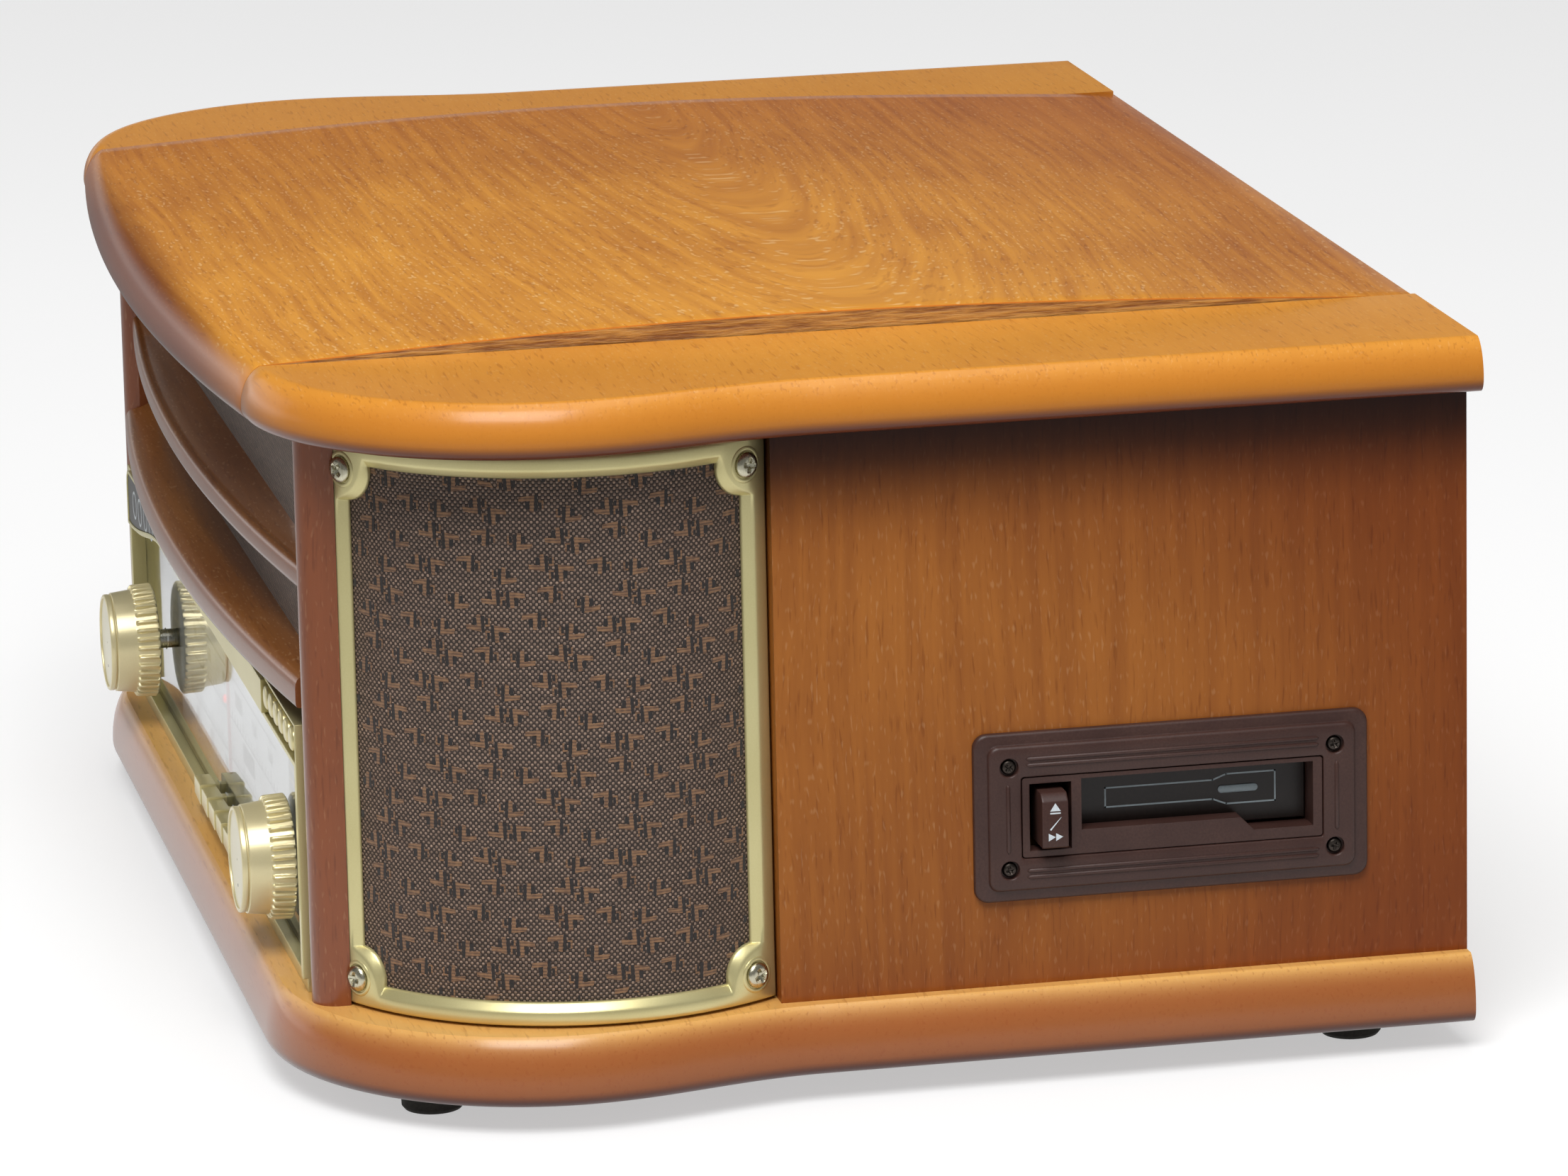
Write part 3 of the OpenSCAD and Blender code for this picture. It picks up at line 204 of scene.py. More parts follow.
@dataclass(frozen=True)
class StainedVeneer(Finish):
    """Plain-sawn ash or beech, stained and sprayed with satin lacquer.

    The stain darkens towards the underside of a moulded edge: partly its own shading, partly
    painted shade drawn by how far the surface faces down. The eye sees rings 2 to 4 mm apart,
    short pores along them, some with painted glints where they catch the light, and a broad
    soft gloss.
    """

    light: str = "#cb8a3c"
    dark: str = "#9c5a28"
    nose: str = "#c4762c"
    under: str = "#5e2c18"
    grain: Axis = Axis.X
    figure: Figure = Figure.STRAIGHT
    centre: Point2 = (0.0, -600.0)
    ring_mm: float = 2.8
    contrast: float = 0.5
    blotch: float = 0.5
    # Strength of the paler flecks, partly painted glints
    glint_flecks: float = 0.3
    roughness: float = 0.34
    specular: float = 0.25
    coat: float = 0.3
    moulded: bool = True
    shades: tuple[StainAndPaintedShade, ...] = ()

    def dress(self, tree: bpy.types.NodeTree, shader: bpy.types.Node) -> None:
        """Fills the tree with rings, pores, patches and the shaded stain.

        Args:
            tree: the node tree.
            shader: its main shader.
        """
        point = self.millimetres(tree)
        parts = add_node(tree, "ShaderNodeSeparateXYZ", None, {0: point})
        along, across, deep = (parts.outputs[c] for c in self.grain.value)
        # Slow waves that bend the rings, 90 mm and 22 mm wide and three times as long
        pull = tuple(0.33 if name == self.grain.value[0] else 1.0 for name in "XYZ")
        pulled = add_node(tree, "ShaderNodeVectorMath", {"operation": "MULTIPLY"},
                          {0: point, 1: pull})
        wave = add_node(tree, "ShaderNodeTexNoise", None,
                        {"Vector": pulled.outputs[0], "Scale": 0.011, "Detail": 2.0})
        ripple = add_node(tree, "ShaderNodeTexNoise", None,
                          {"Vector": pulled.outputs[0], "Scale": 0.045, "Detail": 1.0})
        # The flame of a plain-sawn sheet: rings are long ovals round the middle of the tree
        off = add_node(tree, "ShaderNodeMath", {"operation": "SUBTRACT"},
                       {0: along, 1: self.centre[0]})
        closing = add_node(tree, "ShaderNodeMath", {"operation": "MULTIPLY"},
                           {0: off.outputs[0], 1: self.figure.value})
        away = add_node(tree, "ShaderNodeMath", {"operation": "SUBTRACT"},
                        {0: across, 1: self.centre[1]})
        oval = add_node(tree, "ShaderNodeCombineXYZ", None,
                        {0: closing.outputs[0], 1: away.outputs[0]})
        bent = add_node(tree, "ShaderNodeVectorMath", {"operation": "LENGTH"},
                        {0: oval.outputs[0]})
        waved = add_node(tree, "ShaderNodeMath", {"operation": "MULTIPLY_ADD"},
                         {0: wave.outputs[0], 1: 14.0, 2: bent.outputs["Value"]})
        rippled = add_node(tree, "ShaderNodeMath", {"operation": "MULTIPLY_ADD"},
                           {0: ripple.outputs[0], 1: 2.2, 2: waved.outputs[0]})
        ring = add_node(tree, "ShaderNodeMath", {"operation": "DIVIDE"},
                        {0: rippled.outputs[0], 1: self.ring_mm})
        slow = add_node(tree, "ShaderNodeMath", {"operation": "DIVIDE"}, {0: along, 1: 90.0})
        third = add_node(tree, "ShaderNodeMath", {"operation": "DIVIDE"}, {0: deep, 1: 14.0})
        ring_place = add_node(tree, "ShaderNodeCombineXYZ", None,
                              {0: ring.outputs[0], 1: slow.outputs[0], 2: third.outputs[0]})
        rings = add_node(tree, "ShaderNodeTexNoise", None,
                         {"Vector": ring_place.outputs[0], "Scale": 1.0, "Detail": 2.5,
                          "Roughness": 0.55})
        ring_tone = add_node(tree, "ShaderNodeMapRange", None,
                             {0: rings.outputs[0], 1: 0.36, 2: 0.66, 3: 0.0, 4: 1.0})
        # Pores, drawn 0.9 mm wide and 9 mm long so that they show
        pores = self.streaks(tree, (rippled.outputs[0], along, deep), 0.9, 9.0, 1.0)
        pore_tone = add_node(tree, "ShaderNodeMapRange", None,
                             {0: pores, 1: 0.60, 2: 0.74, 3: 0.0, 4: 1.0})
        # Paler rays and filled pores, partly painted glints, 0.75 mm wide and 3.2 mm long
        rays = self.streaks(tree, (rippled.outputs[0], along, deep), 0.75, 3.2, 0.0)
        glint_tone = add_node(tree, "ShaderNodeMapRange", None,
                              {0: rays, 1: 0.66, 2: 0.80, 3: 0.0, 4: self.glint_flecks})
        # Patches a few centimetres wide where the stain took more or less
        patch = add_node(tree, "ShaderNodeTexNoise", None,
                         {"Vector": point, "Scale": 0.008, "Detail": 3.0, "Roughness": 0.6})
        patch_tone = add_node(tree, "ShaderNodeMapRange", None,
                              {0: patch.outputs[0], 1: 0.35, 2: 0.68, 3: 0.0, 4: 1.0})
        depth = add_node(tree, "ShaderNodeMath", {"operation": "MULTIPLY"},
                         {0: ring_tone.outputs[0], 1: self.contrast})
        tone = add_node(tree, "ShaderNodeMath", {"operation": "MULTIPLY_ADD", "use_clamp": True},
                        {0: patch_tone.outputs[0], 1: self.blotch, 2: depth.outputs[0]})
        face = add_node(tree, "ShaderNodeMix", {"data_type": "RGBA"},
                        {0: tone.outputs[0], 6: srgb(self.light), 7: srgb(self.dark)})
        pored = add_node(tree, "ShaderNodeMix", {"data_type": "RGBA", "blend_type": "MULTIPLY"},
                         {0: pore_tone.outputs[0], 6: face.outputs[2], 7: (0.80, 0.74, 0.70, 1)})
        glinted = add_node(tree, "ShaderNodeMix", {"data_type": "RGBA", "blend_type": "SCREEN"},
                           {0: glint_tone.outputs[0], 6: pored.outputs[2], 7: srgb("#d8b088")})
        stained = glinted.outputs[2]
        # Painted shade, partly the stain's own: a moulded edge darkens as it turns down
        if self.moulded:
            stained = self.edge_stain_and_shade(tree, stained)
        # Painted shade, partly shaded stain: darker away from a bright middle, and painted shadow
        for shade in self.shades:
            stained = shade.over(tree, point, stained)
        tree.links.new(stained, shader.inputs["Base Color"])
        relief = add_node(tree, "ShaderNodeMath", {"operation": "MULTIPLY_ADD"},
                          {0: pore_tone.outputs[0], 1: 0.6, 2: ring_tone.outputs[0]})
        bump = add_node(tree, "ShaderNodeBump", {"invert": True},
                        {"Strength": 0.3, "Distance": 0.08 * MM, "Height": relief.outputs[0]})
        tree.links.new(bump.outputs[0], shader.inputs["Normal"])
        shader.inputs["Roughness"].default_value = self.roughness
        shader.inputs["Specular IOR Level"].default_value = self.specular
        shader.inputs["Coat Weight"].default_value = self.coat
        shader.inputs["Coat Roughness"].default_value = 0.2
        shader.inputs["Coat IOR"].default_value = 1.5

    @staticmethod
    def streaks(tree: bpy.types.NodeTree, way: tuple[bpy.types.NodeSocket, ...], wide: float,
                length: float, detail: float) -> bpy.types.NodeSocket:
        """Short streaks that lie along the grain.

        Args:
            tree: the node tree.
            way: places across the rings, along the grain and into the board, in millimetres.
            wide: width of a streak.
            length: length of a streak.
            detail: how ragged it is.

        Returns:
            The streaks' socket.
        """
        ring, along, deep = way
        across = add_node(tree, "ShaderNodeMath", {"operation": "DIVIDE"}, {0: ring, 1: wide})
        run = add_node(tree, "ShaderNodeMath", {"operation": "DIVIDE"}, {0: along, 1: length})
        spot = add_node(tree, "ShaderNodeCombineXYZ", None,
                        {0: across.outputs[0], 1: run.outputs[0], 2: deep})
        streak = add_node(tree, "ShaderNodeTexNoise", None,
                          {"Vector": spot.outputs[0], "Scale": 1.0, "Detail": detail})
        return streak.outputs[0]

    def edge_stain_and_shade(self, tree: bpy.types.NodeTree,
                   stained: bpy.types.NodeSocket) -> bpy.types.NodeSocket:
        """Darkens the colour as a moulded edge turns down: partly the stain, partly painted shade.

        Args:
            tree: the node tree.
            stained: the colour of the flat face.

        Returns:
            The shaded colour's socket.
        """
        place = add_node(tree, "ShaderNodeTexCoord")
        tilt = add_node(tree, "ShaderNodeSeparateXYZ", None, {0: place.outputs["Normal"]})
        side = add_node(tree, "ShaderNodeMapRange", {"interpolation_type": "SMOOTHSTEP"},
                        {0: tilt.outputs["Z"], 1: 0.88, 2: 0.25, 3: 0.0, 4: 0.85})
        low = add_node(tree, "ShaderNodeMapRange", {"interpolation_type": "SMOOTHSTEP"},
                       {0: tilt.outputs["Z"], 1: 0.30, 2: -0.65, 3: 0.0, 4: 1.0})
        nosed = add_node(tree, "ShaderNodeMix", {"data_type": "RGBA"},
                         {0: side.outputs[0], 6: stained, 7: srgb(self.nose)})
        shaded = add_node(tree, "ShaderNodeMix", {"data_type": "RGBA"},
                          {0: low.outputs[0], 6: nosed.outputs[2], 7: srgb(self.under)})
        return shaded.outputs[2]


@dataclass(frozen=True)
class SprayedGold(Finish):
    """Champagne-gold metallic paint sprayed on moulded ABS: fine flakes and a satin sheen."""

    colour: str = "#d3c98c"
    shade: str = "#bdb26f"
    metallic: float = 0.62
    roughness: float = 0.33
    edge_mm: float = 0.5

    def dress(self, tree: bpy.types.NodeTree, shader: bpy.types.Node) -> None:
        """Fills the tree with flakes and a slow drift of tone.

        Args:
            tree: the node tree.
            shader: its main shader.
        """
        point = self.millimetres(tree)
        # Flakes are 0.05 mm in the paint, drawn at 0.5 mm so that they show
        flakes = add_node(tree, "ShaderNodeTexNoise", None,
                          {"Vector": point, "Scale": 2.0, "Detail": 2.0})
        drift = add_node(tree, "ShaderNodeTexNoise", None, {"Vector": point, "Scale": 0.03})
        mixed = add_node(tree, "ShaderNodeMath", {"operation": "MULTIPLY_ADD", "use_clamp": True},
                         {0: flakes.outputs[0], 1: 0.35, 2: drift.outputs[0]})
        tone = add_node(tree, "ShaderNodeMix", {"data_type": "RGBA"},
                        {0: mixed.outputs[0], 6: srgb(self.shade), 7: srgb(self.colour)})
        tree.links.new(tone.outputs[2], shader.inputs["Base Color"])
        bump = add_node(tree, "ShaderNodeBump", None,
                        {"Strength": 0.12, "Distance": 0.02 * MM, "Height": flakes.outputs[0],
                         "Normal": self.rounded(tree, self.edge_mm)})
        tree.links.new(bump.outputs[0], shader.inputs["Normal"])
        shader.inputs["Metallic"].default_value = self.metallic
        shader.inputs["Roughness"].default_value = self.roughness


@dataclass(frozen=True)
class MouldedPlastic(Finish):
    """ABS or polystyrene moulded against a spark-eroded or polished tool."""

    colour: str = "#3d2621"
    lighter: str = "#4c332c"
    roughness: float = 0.4
    texture_mm: float = 0.6
    relief_mm: float = 0.03
    edge_mm: float = 0.4
    specular: float = 0.4

    def dress(self, tree: bpy.types.NodeTree, shader: bpy.types.Node) -> None:
        """Fills the tree with the tool's fine texture.

        Args:
            tree: the node tree.
            shader: its main shader.
        """
        point = self.millimetres(tree)
        spark = add_node(tree, "ShaderNodeTexNoise", None,
                         {"Vector": point, "Scale": 1 / self.texture_mm, "Detail": 3.0})
        drift = add_node(tree, "ShaderNodeTexNoise", None,
                         {"Vector": point, "Scale": 0.05, "Detail": 2.0})
        mixed = add_node(tree, "ShaderNodeMath", {"operation": "MULTIPLY"},
                         {0: spark.outputs[0], 1: drift.outputs[0]})
        tone = add_node(tree, "ShaderNodeMapRange", None,
                        {0: mixed.outputs[0], 1: 0.12, 2: 0.42, 3: 0.0, 4: 1.0})
        colour = add_node(tree, "ShaderNodeMix", {"data_type": "RGBA"},
                          {0: tone.outputs[0], 6: srgb(self.colour), 7: srgb(self.lighter)})
        tree.links.new(colour.outputs[2], shader.inputs["Base Color"])
        bump = add_node(tree, "ShaderNodeBump", None,
                        {"Strength": 0.5, "Distance": self.relief_mm * MM,
                         "Height": spark.outputs[0], "Normal": self.rounded(tree, self.edge_mm)})
        tree.links.new(bump.outputs[0], shader.inputs["Normal"])
        shader.inputs["Roughness"].default_value = self.roughness
        shader.inputs["Specular IOR Level"].default_value = self.specular


@dataclass(frozen=True)
class WovenCloth(Finish):
    """Woven polyester speaker cloth: pale bright weft over a dark warp, with open holes.

    The threads are about 0.5 mm apart; the pitch here is coarser so that the weave shows. The
    The eye sees rows of small pale stitches on near black: the open holes are painted
    near-black, for the dark speaker behind them and painted shade.
    """

    warp: str = "#41332c"
    weft: str = "#978070"
    # Colour of the open holes: painted shade over the dark speaker behind
    hole_shade: str = "#120d0c"
    pitch_mm: float = 0.85
    use_uv: bool = True

    def dress(self, tree: bpy.types.NodeTree, shader: bpy.types.Node) -> None:
        """Fills the tree with the over and under of the threads.

        Args:
            tree: the node tree.
            shader: its main shader.
        """
        if self.use_uv:
            place = add_node(tree, "ShaderNodeUVMap", {"uv_map": "cloth"})
            point = place.outputs[0]
        else:
            swap = add_node(tree, "ShaderNodeSeparateXYZ", None, {0: self.millimetres(tree)})
            point = add_node(tree, "ShaderNodeCombineXYZ", None,
                             {0: swap.outputs["X"], 1: swap.outputs["Z"]}).outputs[0]
        turn = math.pi / self.pitch_mm
        parts = add_node(tree, "ShaderNodeSeparateXYZ", None, {0: point})
        waves = []
        for name in ("X", "Y"):
            phase = add_node(tree, "ShaderNodeMath", {"operation": "MULTIPLY"},
                             {0: parts.outputs[name], 1: turn})
            wave = add_node(tree, "ShaderNodeMath", {"operation": "SINE"}, {0: phase.outputs[0]})
            waves.append(wave.outputs[0])
        # The product of the two waves is above 0 where the warp passes over the weft
        over = add_node(tree, "ShaderNodeMath", {"operation": "MULTIPLY"},
                        {0: waves[0], 1: waves[1]})
        level = add_node(tree, "ShaderNodeMath", {"operation": "ABSOLUTE"}, {0: over.outputs[0]})
        fuzz = add_node(tree, "ShaderNodeTexNoise", None,
                        {"Vector": point, "Scale": 0.9, "Detail": 3.0})
        # Single rows of weft are 12 mm long where their dye is paler or darker
        drawn = add_node(tree, "ShaderNodeVectorMath", {"operation": "DIVIDE"},
                         {0: point, 1: (12.0, 0.9, 1.0)})
        row = add_node(tree, "ShaderNodeTexNoise", None,
                       {"Vector": drawn.outputs[0], "Scale": 1.0, "Detail": 2.0})
        pick = add_node(tree, "ShaderNodeMapRange", None,
                        {0: over.outputs[0], 1: -0.15, 2: 0.15, 3: 0.0, 4: 1.0})
        thread = add_node(tree, "ShaderNodeMix", {"data_type": "RGBA"},
                          {0: pick.outputs[0], 6: srgb(self.weft), 7: srgb(self.warp)})
        worn = add_node(tree, "ShaderNodeMapRange", None,
                        {0: fuzz.outputs[0], 1: 0.3, 2: 0.7, 3: 0.55, 4: 1.35})
        faded = add_node(tree, "ShaderNodeMapRange", None,
                         {0: row.outputs[0], 1: 0.3, 2: 0.7, 3: 0.7, 4: 1.3})
        gain = add_node(tree, "ShaderNodeMath", {"operation": "MULTIPLY"},
                        {0: worn.outputs[0], 1: faded.outputs[0]})
        toned = add_node(tree, "ShaderNodeVectorMath", {"operation": "SCALE"},
                         {0: thread.outputs[2], "Scale": gain.outputs[0]})
        # Painted shade: the open holes are near-black, for the dark speaker behind and its shade
        open_part = add_node(tree, "ShaderNodeMapRange", None,
                             {0: level.outputs[0], 1: 0.02, 2: 0.3, 3: 0.0, 4: 1.0})
        colour = add_node(tree, "ShaderNodeMix", {"data_type": "RGBA"},
                          {0: open_part.outputs[0], 6: srgb(self.hole_shade), 7: toned.outputs[0]})
        tree.links.new(colour.outputs[2], shader.inputs["Base Color"])
        bump = add_node(tree, "ShaderNodeBump", None,
                        {"Strength": 0.7, "Distance": 0.25 * MM, "Height": level.outputs[0]})
        tree.links.new(bump.outputs[0], shader.inputs["Normal"])
        shader.inputs["Roughness"].default_value = 0.6
        shader.inputs["Specular IOR Level"].default_value = 0.4
        shader.inputs["Sheen Weight"].default_value = 0.3
        shader.inputs["Sheen Roughness"].default_value = 0.4
        shader.inputs["Sheen Tint"].default_value = srgb("#c8a68c")


@dataclass(frozen=True)
class MotifYarn(Finish):
    """Loose jacquard yarn of the cloth's little figures, copper or near black."""

    colour: str = "#8a5c43"
    dark: str = "#5c3a2a"

    def dress(self, tree: bpy.types.NodeTree, shader: bpy.types.Node) -> None:
        """Fills the tree with short threads lying side by side.

        Args:
            tree: the node tree.
            shader: its main shader.
        """
        point = self.millimetres(tree)
        parts = add_node(tree, "ShaderNodeSeparateXYZ", None, {0: point})
        # Yarn rows 0.9 mm apart up the cloth, drawn coarse enough to show
        phase = add_node(tree, "ShaderNodeMath", {"operation": "MULTIPLY"},
                         {0: parts.outputs["Z"], 1: math.tau / 0.9})
        wave = add_node(tree, "ShaderNodeMath", {"operation": "SINE"}, {0: phase.outputs[0]})
        fuzz = add_node(tree, "ShaderNodeTexNoise", None,
                        {"Vector": point, "Scale": 0.7, "Detail": 3.0})
        mixed = add_node(tree, "ShaderNodeMath", {"operation": "MULTIPLY_ADD"},
                         {0: wave.outputs[0], 1: 0.22, 2: fuzz.outputs[0]})
        tone = add_node(tree, "ShaderNodeMapRange", None,
                        {0: mixed.outputs[0], 1: 0.25, 2: 0.75, 3: 0.0, 4: 1.0})
        colour = add_node(tree, "ShaderNodeMix", {"data_type": "RGBA"},
                          {0: tone.outputs[0], 6: srgb(self.dark), 7: srgb(self.colour)})
        tree.links.new(colour.outputs[2], shader.inputs["Base Color"])
        shader.inputs["Roughness"].default_value = 0.66
        shader.inputs["Sheen Weight"].default_value = 0.3


@dataclass(frozen=True)
class WorkedMetal(Finish):
    """Rolled, turned or plated metal, with fine marks of how it was worked."""

    colour: str = "#b9b9b4"
    dull: str = "#8f908c"
    metallic: float = 1.0
    roughness: float = 0.3
    mark_mm: Point3 = (0.4, 0.4, 6.0)
    edge_mm: float = 0.25

    def dress(self, tree: bpy.types.NodeTree, shader: bpy.types.Node) -> None:
        """Fills the tree with marks drawn out along one direction.

        Args:
            tree: the node tree.
            shader: its main shader.
        """
        point = self.millimetres(tree)
        drawn = add_node(tree, "ShaderNodeVectorMath", {"operation": "DIVIDE"},
                         {0: point, 1: self.mark_mm})
        marks = add_node(tree, "ShaderNodeTexNoise", None,
                         {"Vector": drawn.outputs[0], "Scale": 1.0, "Detail": 3.0})
        colour = add_node(tree, "ShaderNodeMix", {"data_type": "RGBA"},
                          {0: marks.outputs[0], 6: srgb(self.dull), 7: srgb(self.colour)})
        tree.links.new(colour.outputs[2], shader.inputs["Base Color"])
        rough = add_node(tree, "ShaderNodeMapRange", None,
                         {0: marks.outputs[0], 1: 0.3, 2: 0.7, 3: self.roughness * 0.8,
                          4: self.roughness * 1.25})
        tree.links.new(rough.outputs[0], shader.inputs["Roughness"])
        tree.links.new(self.rounded(tree, self.edge_mm), shader.inputs["Normal"])
        shader.inputs["Metallic"].default_value = self.metallic


@dataclass(frozen=True)
class FibreBoard(Finish):
    """Raw medium-density fibreboard: tan felted fibres, quite dull."""

    colour: str = "#b3946a"
    fibre: str = "#8d6f48"

    def dress(self, tree: bpy.types.NodeTree, shader: bpy.types.Node) -> None:
        """Fills the tree with short fibres.

        Args:
            tree: the node tree.
            shader: its main shader.
        """
        point = self.millimetres(tree)
        fibres = add_node(tree, "ShaderNodeTexNoise", None,
                          {"Vector": point, "Scale": 0.8, "Detail": 5.0, "Distortion": 1.5})
        colour = add_node(tree, "ShaderNodeMix", {"data_type": "RGBA"},
                          {0: fibres.outputs[0], 6: srgb(self.fibre), 7: srgb(self.colour)})
        tree.links.new(colour.outputs[2], shader.inputs["Base Color"])
        bump = add_node(tree, "ShaderNodeBump", None,
                        {"Strength": 0.3, "Distance": 0.1 * MM, "Height": fibres.outputs[0]})
        tree.links.new(bump.outputs[0], shader.inputs["Normal"])
        shader.inputs["Roughness"].default_value = 0.82


@dataclass(frozen=True)
class RoutedEdge(Finish):
    """The lid's side, sawn and routed: stained wood with rough tear-out along the cut."""

    colour: str = "#c48f45"
    torn: str = "#84511f"

    def dress(self, tree: bpy.types.NodeTree, shader: bpy.types.Node) -> None:
        """Fills the tree with tears drawn out along the cut, front to back.

        Args:
            tree: the node tree.
            shader: its main shader.
        """
        point = self.millimetres(tree)
        drawn = add_node(tree, "ShaderNodeVectorMath", {"operation": "DIVIDE"},
                         {0: point, 1: (1.0, 16.0, 1.1)})
        tears = add_node(tree, "ShaderNodeTexNoise", None,
                         {"Vector": drawn.outputs[0], "Scale": 1.0, "Detail": 4.0,
                          "Roughness": 0.65})
        tone = add_node(tree, "ShaderNodeMapRange", None,
                        {0: tears.outputs[0], 1: 0.38, 2: 0.6, 3: 0.0, 4: 1.0})
        colour = add_node(tree, "ShaderNodeMix", {"data_type": "RGBA"},
                          {0: tone.outputs[0], 6: srgb(self.torn), 7: srgb(self.colour)})
        tree.links.new(colour.outputs[2], shader.inputs["Base Color"])
        bump = add_node(tree, "ShaderNodeBump", None,
                        {"Strength": 0.9, "Distance": 0.6 * MM, "Height": tears.outputs[0]})
        tree.links.new(bump.outputs[0], shader.inputs["Normal"])
        shader.inputs["Roughness"].default_value = 0.5


@dataclass(frozen=True)
class ClearAcrylic(Finish):
    """Polished clear acrylic sheet, refractive index 1.49, with faint wipe marks."""

    def dress(self, tree: bpy.types.NodeTree, shader: bpy.types.Node) -> None:
        """Fills the tree with faint smears in the polish.

        Args:
            tree: the node tree.
            shader: its main shader.
        """
        point = self.millimetres(tree)
        smears = add_node(tree, "ShaderNodeTexNoise", None,
                          {"Vector": point, "Scale": 0.06, "Detail": 3.0})
        rough = add_node(tree, "ShaderNodeMapRange", None,
                         {0: smears.outputs[0], 1: 0.4, 2: 0.7, 3: 0.015, 4: 0.05})
        tree.links.new(rough.outputs[0], shader.inputs["Roughness"])
        shader.inputs["Base Color"].default_value = srgb("#f4f7f7")
        shader.inputs["Transmission Weight"].default_value = 1.0
        shader.inputs["IOR"].default_value = 1.49


@dataclass(frozen=True)
class PrintedInk(Finish):
    """Screen-printed ink, 0.02 mm thick, with the slight mottle of the mesh."""

    colour: str = "#1c1b1a"
    roughness: float = 0.45
    metallic: float = 0.0

    def dress(self, tree: bpy.types.NodeTree, shader: bpy.types.Node) -> None:
        """Fills the tree with the mottle of the print.

        Args:
            tree: the node tree.
            shader: its main shader.
        """
        base = srgb(self.colour)
        paler = tuple(min(1.0, c * 1.25 + 0.01) for c in base[:3]) + (1.0,)
        mottle = add_node(tree, "ShaderNodeTexNoise", None,
                          {"Vector": self.millimetres(tree), "Scale": 1.4, "Detail": 2.0})
        colour = add_node(tree, "ShaderNodeMix", {"data_type": "RGBA"},
                          {0: mottle.outputs[0], 6: base, 7: paler})
        tree.links.new(colour.outputs[2], shader.inputs["Base Color"])
        shader.inputs["Roughness"].default_value = self.roughness
        shader.inputs["Metallic"].default_value = self.metallic


@dataclass(frozen=True)
class GlowingLens(Finish):
    """Epoxy lens of a small lamp: tinted, polished and lit from inside."""

    colour: str = "#ff3020"
    glow: float = 1.2

    def dress(self, tree: bpy.types.NodeTree, shader: bpy.types.Node) -> None:
        """Fills the tree with a core brighter than its rim.

        Args:
            tree: the node tree.
            shader: its main shader.
        """
        core = add_node(tree, "ShaderNodeLayerWeight", None, {"Blend": 0.4})
        colour = add_node(tree, "ShaderNodeMix", {"data_type": "RGBA"},
                          {0: core.outputs["Facing"], 6: srgb(self.colour), 7: srgb("#401010")})
        tree.links.new(colour.outputs[2], shader.inputs["Base Color"])
        tree.links.new(colour.outputs[2], shader.inputs["Emission Color"])
        shader.inputs["Emission Strength"].default_value = self.glow
        shader.inputs["Roughness"].default_value = 0.1


@dataclass(frozen=True)
class SolderMask(Finish):
    """Green solder mask over copper tracks on a glass-fibre board."""

    colour: str = "#2f5f3a"
    track: str = "#4a8052"

    def dress(self, tree: bpy.types.NodeTree, shader: bpy.types.Node) -> None:
        """Fills the tree with tracks about 4 mm apart.

        Args:
            tree: the node tree.
            shader: its main shader.
        """
        cells = add_node(tree, "ShaderNodeTexVoronoi",
                         {"distance": "MANHATTAN", "feature": "F1"},
                         {"Vector": self.millimetres(tree), "Scale": 0.22})
        edge = add_node(tree, "ShaderNodeMapRange", None,
                        {0: cells.outputs["Distance"], 1: 0.42, 2: 0.5, 3: 0.0, 4: 1.0})
        colour = add_node(tree, "ShaderNodeMix", {"data_type": "RGBA"},
                          {0: edge.outputs[0], 6: srgb(self.colour), 7: srgb(self.track)})
        tree.links.new(colour.outputs[2], shader.inputs["Base Color"])
        shader.inputs["Roughness"].default_value = 0.35


# Painted shade: the front edges of the boards are drawn darker than their sides
FRONT_SHADE = StainAndPaintedShade((0.0, 200.0, 200.0), (9000.0, 374.0, 9000.0), "#96776a", 0.955, 0.99)
LID_SHADES = (
    # Painted shade, with some shaded stain: the lid darkens away from its near front corner
    StainAndPaintedShade((170.0, -130.0, 200.0), (430.0, 420.0, 400.0), "#ceac9e", 0.3, 1.2),
    FRONT_SHADE,
)
WALL_SHADES = (
    # Darker towards the wall's front and rear, top and bottom: a shaded stain and painted shade
    StainAndPaintedShade((0.0, 5.0, 100.0), (9000.0, 170.0, 104.0), "#c2a49c", 0.3, 1.1),
    # Painted shadow: a dark band under the rail's overhang
    StainAndPaintedShade((0.0, 70.0, 60.0), (9000.0, 900.0, 129.0), "#5c4c46", 0.74, 1.02),
)
# The nose and under colours darken a moulded edge: partly stain, partly painted shade
LID_VENEER = StainedVeneer("lid_ash_veneer_honey_lacquer", grain=Axis.X, figure=Figure.FLAMED,
                           centre=(-190.0, 14.0), light="#e8a03a", dark="#b87027", nose="#d88430",
                           under="#74401f", contrast=0.5, blotch=0.45, glint_flecks=0.5, roughness=0.42,
                           specular=0.18, shades=LID_SHADES)
RAIL_WOOD = StainedVeneer("rail_ash_honey_lacquer", grain=Axis.X, light="#e49a38", dark="#cf8429",
                          nose="#d28228", under="#6a2e12", contrast=0.2, glint_flecks=0.15,
                          roughness=0.4, specular=0.2, coat=0.45, shades=(FRONT_SHADE,))
WALL_VENEER = StainedVeneer("wall_ash_veneer_brown_lacquer", grain=Axis.Z, light="#b8722f",
                            dark="#925322", contrast=0.35, blotch=0.6, ring_mm=3.4, coat=0.15,
                            roughness=0.42, specular=0.15, glint_flecks=0.15, moulded=False,
                            shades=WALL_SHADES)
